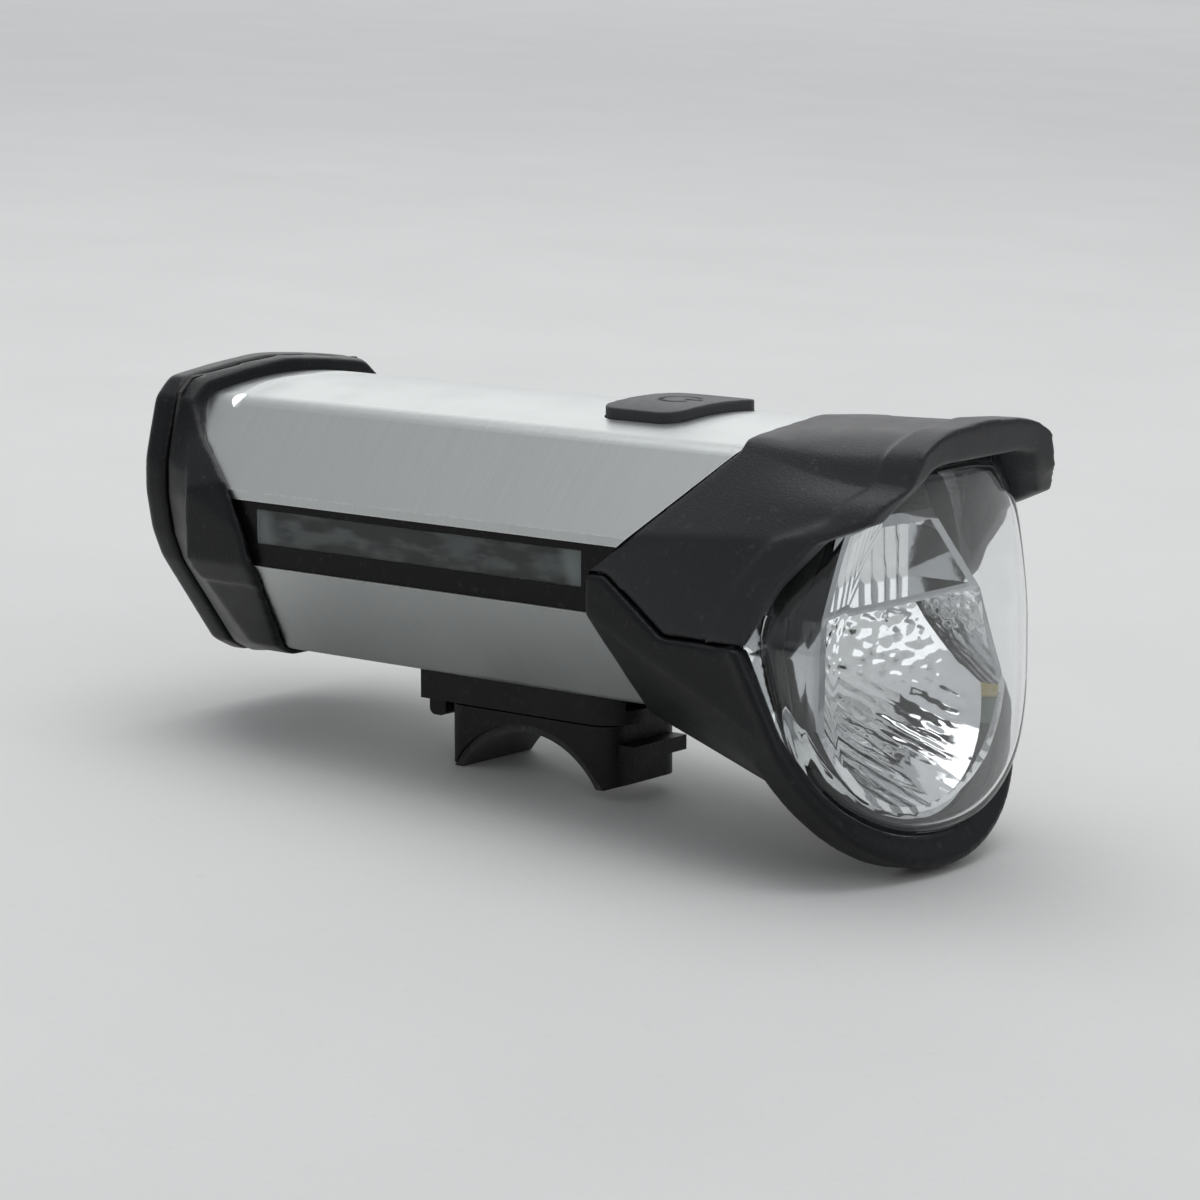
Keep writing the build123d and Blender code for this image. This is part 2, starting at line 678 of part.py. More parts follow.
def upper_zone(gap=0.0):
    rear_slope = (VISOR_LEDGE_Y - TUBE_FRONT_Y) / (LEDGE_Z - SEAM_REAR_Z)
    seam = [
        (SEAM_LEVEL_Y, RIM_CORNER_Z + gap), (SEAM_BEND_Y, SEAM_REAR_Z + gap),
        (TUBE_FRONT_Y + gap * rear_slope, SEAM_REAR_Z + gap)]
    rear = [(VISOR_LEDGE_Y, LEDGE_Z), (VISOR_TOP_Y, SHOULDER_Z), (VISOR_TOP_Y, FAR)]
    front = visor_edge()
    front[-1] = (RIM_CORNER_Y, RIM_CORNER_Z + gap)
    return side_view(*front, *seam, *rear)


def visor_band():
    """The strip that runs beside the upper front edge."""
    front = visor_edge(-1)
    rear = visor_edge(RIM_BAND)
    return side_view(*front, *reversed(rear))


def lens_section(grow=0.0):
    """The lens as seen from the front."""
    right = [(LENS_TOP_X, LENS_TOP_Z), (LENS_KNEE_X, LENS_KNEE_Z), (LENS_SIDE_X, LENS_SIDE_Z), (LENS_SIDE_X, LENS_LOW_Z)]
    loop = both_sides(right)
    side = right[-1]
    base = ThreePointArc(side, (0, LENS_BOTTOM_Z), (-side[0], side[1]))
    face = face_of(Polyline(*loop[:4]), base, Polyline(*loop[4:]), Line(loop[-1], loop[0]))
    if grow:
        face = offset(face, grow, kind=Kind.INTERSECTION)
    return face


RIM_SLOPE = (RIM_CORNER_Y - RIM_BOTTOM_Y) / (RIM_CORNER_Z - RIM_BOTTOM_Z)


def ahead_of(y):
    """All ahead of a front that is upright down to the rim's corner, then follows the rim."""
    low = -FAR / 2
    return side_view(
        (y, FAR), (y, RIM_CORNER_Z), (y - (RIM_CORNER_Z - low) * RIM_SLOPE, low), (-2 * FAR, low), (-2 * FAR, FAR))


def between(solid, y_from, y_to):
    return (solid & ahead_of(y_to)) - ahead_of(y_from)


def nose_room():
    """The room for lens, seal and reflector flange, open to the front."""
    return run(lens_section(LENS_GAP), -FAR, FAR) & ahead_of(NOSE_WALL_Y)


def inner_room(form):
    """The room behind the nose wall, and the way through that wall for the reflector."""
    room = form - ahead_of(NOSE_WALL_Y + NOSE_WALL)
    return room + between(run(lens_section(-NOSE_SEAT), -FAR, FAR), NOSE_WALL_Y - 1, NOSE_WALL_Y + NOSE_WALL + 1)


def visor_shell():
    shell = upper_form() & upper_zone(SEAM_GAP)
    shell += (upper_form(RIM_STAND) & upper_zone(SEAM_GAP) & visor_band())
    shell -= inner_room(upper_form(-HEAD_WALL))
    shell -= nose_room()
    return shell


def lower_zone():
    return side_view(
        (TUBE_FRONT_Y, SEAM_REAR_Z), (SEAM_BEND_Y, SEAM_REAR_Z), (SEAM_LEVEL_Y, RIM_CORNER_Z),
        (-FAR, RIM_CORNER_Z), (-FAR, -FAR), (TUBE_FRONT_Y, -FAR))


def bezel_shell():
    rim = extrude(rim_face(RIM_STAND), -RIM_BAND, taper=RIM_TAPER)
    rim = chamfer(rim.edges().filter_by(lambda edge: abs(edge.center().Z) < 0.01), RIM_EDGE)
    behind_rim = Box(2 * FAR, 2 * FAR, 2 * FAR, align=(Align.CENTER, Align.CENTER, Align.MAX))
    form = lower_form() & (RIM_PLANE.offset(-2 * RIM_EDGE) * behind_rim)
    shell = (form & lower_zone()) + (RIM_PLANE * rim & lower_zone())
    shell -= inner_room(lower_form(-HEAD_WALL))
    shell -= nose_room()
    return shell


# Lens, seal, reflector and light source

def bow(front_y):
    """A round column whose nearest side is the lens's bowed front."""
    return Pos(0, front_y + LENS_BOW_RADIUS, 0) * Cylinder(LENS_BOW_RADIUS, FAR * 2)


def lens():
    outer = run(lens_section(), -FAR, FAR) & bow(LENS_FRONT_Y) & ahead_of(LENS_REAR_Y)
    inner = run(lens_section(-LENS_WALL), -FAR, FAR) & bow(LENS_FRONT_Y + LENS_WALL)
    return outer - inner


def lens_seal():
    ring = run(lens_section(), -FAR, FAR) - run(lens_section(-LENS_WALL), -FAR, FAR)
    return between(ring, LENS_REAR_Y, LENS_REAR_Y + LENS_SEAL)


FLANGE_FRONT_Y = LENS_REAR_Y + LENS_SEAL
BOWL_FOCUS = BOWL_RADIUS ** 2 / (4 * BOWL_DEPTH)
BOWL_BACK_Y = REFLECTOR_FRONT_Y + BOWL_DEPTH
LED_Y = BOWL_BACK_Y - BOWL_FOCUS
FACE_Y = REFLECTOR_FRONT_Y + FACE_DEPTH


def reflector_section():
    right = [(REFLECTOR_TOP_X, REFLECTOR_TOP_Z), (REFLECTOR_SHELF_X, SHELF_Z), (REFLECTOR_SIDE_X, REFLECTOR_SIDE_Z)]
    loop = both_sides(right)
    side = right[-1]
    base = ThreePointArc(side, (0, REFLECTOR_BOTTOM_Z), (-side[0], side[1]))
    return face_of(Polyline(*loop[:3]), base, Polyline(*loop[3:]), Line(loop[-1], loop[0]))


def bowl(front_y, grow=0.0):
    """A paraboloid about the shelf's level, opening forward."""
    depth = BOWL_BACK_Y + grow - front_y
    radius = math.sqrt(4 * BOWL_FOCUS * depth)
    back = (0, BOWL_BACK_Y + grow)
    curve = Bezier(back, (radius / 2, BOWL_BACK_Y + grow), (radius, front_y))
    face = face_of(curve, Line((radius, front_y), (0, front_y)), Line((0, front_y), back))
    return Pos(0, 0, SHELF_Z) * revolve(face, Axis.Y)


def below(z):
    return Pos(0, 0, z) * Box(FAR, FAR, FAR, align=(Align.CENTER, Align.CENTER, Align.MAX))


def above(z):
    return Pos(0, 0, z) * Box(FAR, FAR, FAR, align=LOW)


def reflector():
    raked = side_view(
        (REFLECTOR_TOP_Y, REFLECTOR_TOP_Z + 1), (REFLECTOR_FRONT_Y, SHELF_Z), (REFLECTOR_BOTTOM_Y, REFLECTOR_BOTTOM_Z - 1),
        (FAR, REFLECTOR_BOTTOM_Z - 1), (FAR, REFLECTOR_TOP_Z + 1))
    full = run(reflector_section(), -FAR, BOWL_BACK_Y + REFLECTOR_WALL) & raked
    inside = offset(reflector_section(), -REFLECTOR_WALL, kind=Kind.INTERSECTION)
    lower = (full & bowl(REFLECTOR_BOTTOM_Y - 9, REFLECTOR_WALL)) & below(SHELF_Z)
    upper = full & slab(-FAR, FACE_Y + REFLECTOR_WALL) & above(SHELF_Z)
    recess = run(inside, -FAR, FACE_Y)
    upper -= recess & above(SHELF_Z + SHELF_THICKNESS)
    pitch = 2 * math.sqrt(2 * FLUTE_RADIUS * FLUTE_DEPTH - FLUTE_DEPTH ** 2)
    count = int(REFLECTOR_TOP_X / pitch)
    for i in range(-count, count + 1):
        flute = Pos(i * pitch, FACE_Y + FLUTE_DEPTH - FLUTE_RADIUS, SHELF_Z + SHELF_THICKNESS)
        height = REFLECTOR_TOP_Z - REFLECTOR_WALL - SHELF_Z - SHELF_THICKNESS
        upper -= flute * Cylinder(FLUTE_RADIUS, height, align=LOW)
    flange = between(run(lens_section(), -FAR, FAR), FLANGE_FRONT_Y, FLANGE_FRONT_Y + REFLECTOR_FLANGE)
    body = lower + upper + flange
    body -= bowl(-FAR / 2) & run(inside, -FAR, FAR) & below(SHELF_Z)
    body -= run(inside, FACE_Y + REFLECTOR_WALL, FAR) & above(SHELF_Z)
    return body


LED_BOARD_FRONT_Y = FACE_Y + REFLECTOR_WALL + POCKET_GAP


def led_board():
    board = Box(LED_BOARD_WIDTH, LED_BOARD_LENGTH, LED_BOARD_THICKNESS, align=(Align.CENTER, Align.MIN, Align.MIN))
    return Pos(0, LED_BOARD_FRONT_Y, SHELF_Z) * board


def led_emitter():
    body = Box(LED_SIZE, LED_SIZE, LED_HEIGHT / 2, align=(Align.CENTER, Align.CENTER, Align.MAX))
    dome = Pos(0, 0, -LED_HEIGHT / 2) * Box(LED_SIZE * 0.6, LED_SIZE * 0.6, LED_HEIGHT / 2,
                                            align=(Align.CENTER, Align.CENTER, Align.MAX))
    return Pos(0, LED_Y, SHELF_Z) * (body + dome)


def heat_sink():
    z = SHELF_Z + LED_BOARD_THICKNESS
    length = CELL_FRONT_Y - CONTACT_THICKNESS - LED_BOARD_FRONT_Y - 1
    base = Box(LED_BOARD_WIDTH, length, COOLER_BASE, align=(Align.CENTER, Align.MIN, Align.MIN))
    sink = Pos(0, LED_BOARD_FRONT_Y, z) * base
    pitch = (LED_BOARD_WIDTH - COOLER_FIN_THICKNESS) / (COOLER_FINS - 1)
    for i in range(COOLER_FINS):
        x = -LED_BOARD_WIDTH / 2 + COOLER_FIN_THICKNESS / 2 + i * pitch
        fin = Box(COOLER_FIN_THICKNESS, length, COOLER_FIN_HEIGHT, align=(Align.CENTER, Align.MIN, Align.MIN))
        sink += Pos(x, LED_BOARD_FRONT_Y, z + COOLER_BASE) * fin
    return sink


# Cells and electronics

CELL_X = CELL_RADIUS + CELL_GAP / 2
CELL_REAR_Y = CELL_FRONT_Y + CELL_LENGTH


def battery_cell(x):
    return rod_y(CELL_RADIUS, x, CELL_FRONT_Y, CELL_REAR_Y, CELL_Z)


def cell_cradle():
    cradle = run(cavity_section(POCKET_GAP), CELL_FRONT_Y, CELL_REAR_Y) & below(CRADLE_TOP_Z)
    for x in (-CELL_X, CELL_X):
        cradle -= rod_y(CELL_RADIUS + POCKET_GAP, x, -FAR, FAR, CELL_Z)
    for y in rail_screw_ys():
        cradle -= Pos(0, y, 0) * Cylinder(SCREW_RADIUS + POCKET_GAP, 6 * TUBE_WALL)
    return cradle


def cell_contacts():
    """Nickel strips that join the cells at the front, and two tabs at the rear."""
    strips = []
    joined = Box(2 * CELL_X + CONTACT_SIZE, CONTACT_THICKNESS, CONTACT_SIZE, align=(Align.CENTER, Align.MAX, Align.CENTER))
    strips.append(Pos(0, CELL_FRONT_Y, CELL_Z) * joined)
    for x in (-CELL_X, CELL_X):
        tab = Box(CONTACT_SIZE, CONTACT_THICKNESS, CONTACT_SIZE, align=(Align.CENTER, Align.MIN, Align.CENTER))
        strips.append(Pos(x, CELL_REAR_Y, CELL_Z) * tab)
    return strips


def main_board():
    board = Box(BOARD_WIDTH, BOARD_LENGTH, BOARD_THICKNESS, align=(Align.CENTER, Align.MIN, Align.MIN))
    return Pos(0, CELL_FRONT_Y, BOARD_Z) * board


def push_switch():
    top = BOARD_Z + BOARD_THICKNESS
    body = Box(SWITCH_SIZE, SWITCH_SIZE, SWITCH_HEIGHT * 0.7, align=LOW)
    plunger = Cylinder(SWITCH_SIZE / 4, SWITCH_HEIGHT, align=LOW)
    return Pos(0, BUTTON_Y, top) * (body + plunger)


# Button

def glyph():
    """A generic on-off sign: a broken ring with a bar in the break."""
    ring = Circle(GLYPH_RADIUS) - Circle(GLYPH_RADIUS - GLYPH_LINE)
    ring -= Pos(0, -GLYPH_RADIUS) * Rectangle(GLYPH_RADIUS, GLYPH_RADIUS)
    bar = Pos(0, -GLYPH_RADIUS * 0.75) * Rectangle(GLYPH_LINE, GLYPH_RADIUS)
    return [ring, bar]


def button_pad():
    flange_top = CAVITY_TOP_Z - SWITCH_GAP
    pad = Pos(0, BUTTON_Y, flange_top) * extrude(button_outline(), FAR / 10)
    pad &= run(plain_section(BUTTON_STAND), -FAR / 2, FAR)
    flange = extrude(button_outline(BUTTON_FLANGE), BUTTON_FLANGE_HEIGHT)
    pad += Pos(0, BUTTON_Y, flange_top - BUTTON_FLANGE_HEIGHT) * flange
    stem_bottom = BOARD_Z + BOARD_THICKNESS + SWITCH_HEIGHT + BUTTON_TRAVEL + SWITCH_GAP
    stem = Cylinder(BUTTON_STEM_RADIUS, flange_top - stem_bottom, align=LOW)
    pad += Pos(0, BUTTON_Y, stem_bottom) * stem
    for mark in glyph():
        pad -= Pos(0, BUTTON_Y, TUBE_HEIGHT + BUTTON_STAND - GLYPH_DEPTH) * extrude(mark, FAR / 10)
    return pad


# Bracket

def rail_screw_ys():
    return (RAIL_FRONT_Y + RAIL_SCREW_INSET, RAIL_FRONT_Y + RAIL_LENGTH - RAIL_SCREW_INSET)


def rail_box(half, z_low, z_high, y_from, y_to):
    bar = Box(2 * half, y_to - y_from, z_high - z_low, align=(Align.CENTER, Align.MIN, Align.MIN))
    return Pos(0, y_from, z_low) * bar


def mount_rail():
    y_to = RAIL_FRONT_Y + RAIL_LENGTH
    rail = rail_box(RAIL_NECK_HALF, -RAIL_NECK_HEIGHT, 0, RAIL_FRONT_Y, y_to)
    rail += rail_box(RAIL_HALF, RAIL_BOTTOM_Z, -RAIL_NECK_HEIGHT, RAIL_FRONT_Y, y_to)
    for y in rail_screw_ys():
        rail -= Pos(0, y, 0) * Cylinder(SCREW_RADIUS, FAR / 5)
        head = Cylinder(SCREW_HEAD_RADIUS + POCKET_GAP, SCREW_HEAD_HEIGHT, align=LOW)
        rail -= Pos(0, y, RAIL_BOTTOM_Z) * head
    return rail


def screw_up(x, y, z_head, length):
    """A screw driven in from below."""
    screw = Pos(x, y, z_head) * Cylinder(SCREW_HEAD_RADIUS, SCREW_HEAD_HEIGHT, align=LOW)
    screw += Pos(x, y, z_head) * Cylinder(SCREW_RADIUS, length, align=LOW)
    for turn in (0, 90):
        screw -= Pos(x, y, z_head) * Rot(Z=turn) * Box(2 * SCREW_RADIUS, SCREW_SLOT, 2 * SCREW_SLOT)
    return screw


def rail_screws():
    return [screw_up(0, y, RAIL_BOTTOM_Z, TUBE_WALL - RAIL_BOTTOM_Z) for y in rail_screw_ys()]


HOUSING_TOP_Z = -HOUSING_TOP_GAP
TAB_FRONT_Y = HOUSING_REAR_Y + TAB_CLEAR
TAB_PIN_Y = TAB_FRONT_Y + TAB_THICKNESS / 2
TAB_WIDTH = HOUSING_WIDTH - 2 * EAR_THICKNESS - 2 * TAB_GAP


def bracket_housing():
    length = HOUSING_REAR_Y - HOUSING_FRONT_Y
    outline = Box(HOUSING_WIDTH, length, HOUSING_TOP_Z - HOUSING_BOTTOM_Z, align=(Align.CENTER, Align.MIN, Align.MIN))
    housing = Pos(0, HOUSING_FRONT_Y, HOUSING_BOTTOM_Z) * outline
    upright = housing.edges().filter_by(Axis.Z).sort_by(Axis.Y)
    housing = fillet(upright[:2], HOUSING_ROUNDING)
    rail_rear = RAIL_FRONT_Y + RAIL_LENGTH + SLIDE_GAP
    housing -= rail_box(RAIL_HALF + SLIDE_GAP, FLOOR_TOP_Z, -RAIL_NECK_HEIGHT + SLIDE_GAP, -FAR, rail_rear)
    housing -= rail_box(RAIL_NECK_HALF + SLIDE_GAP, FLOOR_TOP_Z, 1, -FAR, rail_rear)
    for side in (-1, 1):
        x = side * (HOUSING_WIDTH - EAR_THICKNESS) / 2
        ear = Box(EAR_THICKNESS, TAB_CLEAR + EAR_LENGTH, HOUSING_TOP_Z - HOUSING_BOTTOM_Z,
                  align=(Align.CENTER, Align.MIN, Align.MIN))
        housing += Pos(x, HOUSING_REAR_Y, HOUSING_BOTTOM_Z) * ear
    housing -= rod_x(TAB_PIN_RADIUS, HOUSING_WIDTH - EAR_THICKNESS, TAB_PIN_Y, TAB_PIN_Z)
    bore = Cylinder(PIVOT_RADIUS + PIN_GAP, FAR / 10, align=(Align.CENTER, Align.CENTER, Align.MAX))
    housing -= Pos(0, SADDLE_Y, FLOOR_TOP_Z + 0.1) * bore
    seat = Cylinder(PIVOT_HEAD_RADIUS + SLIDE_GAP, FAR / 10, align=LOW)
    housing -= (Pos(0, SADDLE_Y, PIVOT_HEAD_Z - PIN_GAP) * seat) & below(FLOOR_TOP_Z + 0.1)
    return housing


PIVOT_HEAD_Z = FLOOR_TOP_Z - PIVOT_HEAD_HEIGHT - SLIDE_GAP


def tab_pin():
    return rod_x(TAB_PIN_RADIUS, HOUSING_WIDTH - EAR_THICKNESS, TAB_PIN_Y, TAB_PIN_Z)


def release_tab():
    height = TAB_TOP_Z - TAB_BOTTOM_Z
    plate = Box(TAB_WIDTH, TAB_THICKNESS, height, align=(Align.CENTER, Align.MIN, Align.MIN))
    plate = fillet(plate.edges().filter_by(Axis.X), TAB_THICKNESS / 3)
    tab = Pos(0, TAB_FRONT_Y, TAB_BOTTOM_Z) * plate
    ribs = int((height - TAB_THICKNESS) / TAB_RIB_PITCH)
    for i in range(ribs):
        z = TAB_BOTTOM_Z + TAB_THICKNESS / 2 + (i + 0.5) * TAB_RIB_PITCH
        tab += rod_x(TAB_RIB_RADIUS, TAB_WIDTH - 1, TAB_FRONT_Y + TAB_THICKNESS, z)
    tab -= rod_x(TAB_PIN_RADIUS + PIN_GAP, 2 * TAB_WIDTH, TAB_PIN_Y, TAB_PIN_Z)
    notch_rear = TAB_PIN_RADIUS + 2 * PIN_GAP + 2 * SPRING_WIRE
    notch = Box(TAB_NOTCH, TAB_THICKNESS, 2 * TAB_THICKNESS, align=(Align.CENTER, Align.MAX, Align.CENTER))
    tab -= Pos(0, TAB_PIN_Y + notch_rear, TAB_PIN_Z) * notch
    return tab


def tab_spring():
    coil_radius = TAB_PIN_RADIUS + PIN_GAP + SPRING_WIRE
    pitch = 2 * SPRING_WIRE - 0.02
    spring = None
    for i in range(SPRING_TURNS):
        x = (i - (SPRING_TURNS - 1) / 2) * pitch
        ring = Rot(Y=90) * Torus(coil_radius, SPRING_WIRE)
        ring = Pos(x, TAB_PIN_Y, TAB_PIN_Z) * ring
        spring = ring if spring is None else spring + ring
    leg = Box(2 * SPRING_WIRE, TAB_CLEAR + TAB_THICKNESS / 2, 2 * SPRING_WIRE,
              align=(Align.CENTER, Align.MAX, Align.CENTER))
    spring += Pos(0, TAB_PIN_Y, TAB_PIN_Z + coil_radius) * leg
    return spring


def bar_clearance(radius):
    return rod_x(radius, FAR, SADDLE_Y, BAR_Z)


def saddle_base():
    base = Box(HOUSING_WIDTH, SADDLE_LENGTH, SADDLE_TOP_Z - SADDLE_BOTTOM_Z, align=LOW)
    base = fillet(base.edges().filter_by(Axis.Z), SADDLE_ROUNDING)
    base = Pos(0, SADDLE_Y, SADDLE_BOTTOM_Z) * base
    hook_y = SADDLE_Y - SADDLE_LENGTH / 2
    hook = Box(HOOK_WIDTH, HOOK_LENGTH + SADDLE_ROUNDING, HOOK_HEIGHT, align=(Align.CENTER, Align.MIN, Align.CENTER))
    base += Pos(0, hook_y - HOOK_LENGTH, HOOK_Z) * hook
    boss = Cylinder(PIVOT_RADIUS, PIVOT_HEAD_Z - SADDLE_TOP_Z + 1, align=LOW)
    base += Pos(0, SADDLE_Y, SADDLE_TOP_Z - 1) * boss
    base -= bar_clearance(BAR_RADIUS + BAR_PAD)
    base &= above(SADDLE_BOTTOM_Z + PAD_PROUD)
    shank = Cylinder(PIVOT_SHANK_RADIUS, PIVOT_SHANK_LENGTH, align=(Align.CENTER, Align.CENTER, Align.MAX))
    base -= Pos(0, SADDLE_Y, PIVOT_HEAD_Z) * shank
    return base


def saddle_pad():
    pad = rod_x(BAR_RADIUS + BAR_PAD, HOUSING_WIDTH - 1, SADDLE_Y, BAR_Z) - bar_clearance(BAR_RADIUS)
    return pad & above(SADDLE_BOTTOM_Z)


def pivot_screw():
    screw = Cylinder(PIVOT_HEAD_RADIUS, PIVOT_HEAD_HEIGHT, align=LOW)
    screw += Cylinder(PIVOT_SHANK_RADIUS, PIVOT_SHANK_LENGTH, align=(Align.CENTER, Align.CENTER, Align.MAX))
    for turn in (0, 90):
        slot = Pos(0, 0, PIVOT_HEAD_HEIGHT) * Rot(Z=turn) * Box(PIVOT_HEAD_RADIUS, SCREW_SLOT, SCREW_SLOT)
        screw -= slot
    return Pos(0, SADDLE_Y, PIVOT_HEAD_Z) * screw


PIECES = {
    "body_tube": body_tube,
    "side_strip_right": side_strip,
    "side_strip_left": lambda: on_left(side_strip()),
    "side_window_right": side_window,
    "side_window_left": lambda: on_left(side_window()),
    "side_board_right": side_board,
    "side_board_left": lambda: on_left(side_board()),
    "rear_collar": rear_collar,
    "rear_seal": rear_seal,
    "rear_cover": rear_cover,
    "rear_screws": rear_screws,
    "charge_port": charge_port,
    "port_flap": port_flap,
    "flap_pin": flap_pin,
    "visor_shell": visor_shell,
    "bezel_shell": bezel_shell,
    "lens": lens,
    "lens_seal": lens_seal,
    "reflector": reflector,
    "led_board": led_board,
    "led_emitter": led_emitter,
    "heat_sink": heat_sink,
    "battery_cell_right": lambda: battery_cell(CELL_X),
    "battery_cell_left": lambda: battery_cell(-CELL_X),
    "cell_cradle": cell_cradle,
    "cell_contacts": cell_contacts,
    "main_board": main_board,
    "push_switch": push_switch,
    "button_pad": button_pad,
    "mount_rail": mount_rail,
    "rail_screws": rail_screws,
    "bracket_housing": bracket_housing,
    "release_tab": release_tab,
    "tab_pin": tab_pin,
    "tab_spring": tab_spring,
    "saddle_base": saddle_base,
    "saddle_pad": saddle_pad,
    "pivot_screw": pivot_screw,
}


def one_shape(piece):
    """A single solid as it is, or a group of separate solids as one compound."""
    solids = []
    for item in piece if isinstance(piece, list) else [piece]:
        solids.extend(item.solids())
    return solids[0] if len(solids) == 1 else Compound(solids)


def lying(shapes):
    """The move that lays the level lamp down: lowest point at Z = 0, centred on the origin."""
    foot_y = SADDLE_Y + math.sqrt((BAR_RADIUS + BAR_PAD) ** 2 - (SADDLE_BOTTOM_Z - BAR_Z) ** 2)
    rim_low = rim_face(RIM_STAND).bounding_box().min.Y + RIM_BAND * math.tan(math.radians(RIM_TAPER))
    rim_rest = RIM_PLANE.from_local_coords((0, rim_low, -RIM_BAND))
    pitch = math.degrees(math.atan2(SADDLE_BOTTOM_Z - rim_rest.Z, foot_y - rim_rest.Y))
    tip = Rot(X=-pitch)
    boxes = [(tip * shape).bounding_box() for shape in shapes]
    y_low = min(box.min.Y for box in boxes)
    y_high = max(box.max.Y for box in boxes)
    z_low = min(box.min.Z for box in boxes)
    return Pos(0, -(y_low + y_high) / 2, -z_low) * tip


if __name__ == "__main__":
    shapes = {name: one_shape(make()) for name, make in PIECES.items()}
    move = lying(shapes.values())
    for name, shape in shapes.items():
        export_step(move * shape, f"parts/{name}.step")
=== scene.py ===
import json
import math

import bmesh
import bpy
from mathutils import Euler, Matrix, Vector


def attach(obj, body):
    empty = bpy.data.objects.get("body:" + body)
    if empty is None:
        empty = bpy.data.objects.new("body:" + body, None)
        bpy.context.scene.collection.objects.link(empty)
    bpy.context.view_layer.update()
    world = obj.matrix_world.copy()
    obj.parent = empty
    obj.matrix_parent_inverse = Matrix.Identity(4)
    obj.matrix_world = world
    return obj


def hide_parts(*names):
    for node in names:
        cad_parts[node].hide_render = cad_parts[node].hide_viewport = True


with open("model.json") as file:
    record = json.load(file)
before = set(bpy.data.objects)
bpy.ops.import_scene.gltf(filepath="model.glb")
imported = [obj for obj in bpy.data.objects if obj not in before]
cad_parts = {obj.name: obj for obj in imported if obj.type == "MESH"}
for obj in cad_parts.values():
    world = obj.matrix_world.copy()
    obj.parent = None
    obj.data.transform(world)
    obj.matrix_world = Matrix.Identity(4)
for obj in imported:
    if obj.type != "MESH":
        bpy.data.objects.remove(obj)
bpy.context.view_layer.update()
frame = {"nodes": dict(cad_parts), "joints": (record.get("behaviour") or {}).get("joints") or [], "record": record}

nodes = frame["nodes"]

# The lamp's own frame: millimetres, level, with the tube's middle at x 0 and its front at y 0.
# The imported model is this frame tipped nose-up and moved, so that the lamp lies on the floor.
BAR_CENTRE = Vector((0.0, 21.3, -19.3))
press = next(joint for joint in frame["joints"] if joint["name"] == "button_press")
saddle = next(mount for mount in frame["record"]["mounts"] if mount["name"] == "handlebar_saddle")
TIP = math.asin(-press["axis"][1])
LEVEL = Euler((TIP, 0.0, 0.0)).to_matrix()
TIP_OFFSET = Vector(saddle["pos_m"]) * 1000 - LEVEL.inverted() @ BAR_CENTRE

# The camera in the lamp's own frame, found from the straight edges of the tube in the photograph.
CAMERA_AZIMUTH = -50.58
CAMERA_ELEVATION = 9.79
CAMERA_ROLL = -0.09
CAMERA_DISTANCE = 453.5
CAMERA_AIM = Vector((-10.45, 6.81, 11.64))
CAMERA_LENS = 117.0

# The right half of the tube's section, as (x, z)
SHOULDER = Vector((14.0, 31.7))
LEDGE = Vector((22.3, 21.6))
CHANNEL_BOTTOM_Z = 12.6
LOWER_FACET_FALL = 0.929

# The button's power sign: where it is, and the middle line of its ring
GLYPH_Y = 3.2
GLYPH_RING = 2.35


def placed(point):
    """A point of the lamp's own frame, in millimetres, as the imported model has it, in metres."""
    return (LEVEL.inverted() @ Vector(point) + TIP_OFFSET) / 1000


def levelled(point):
    """The inverse of placed."""
    return LEVEL @ (point * 1000 - TIP_OFFSET)


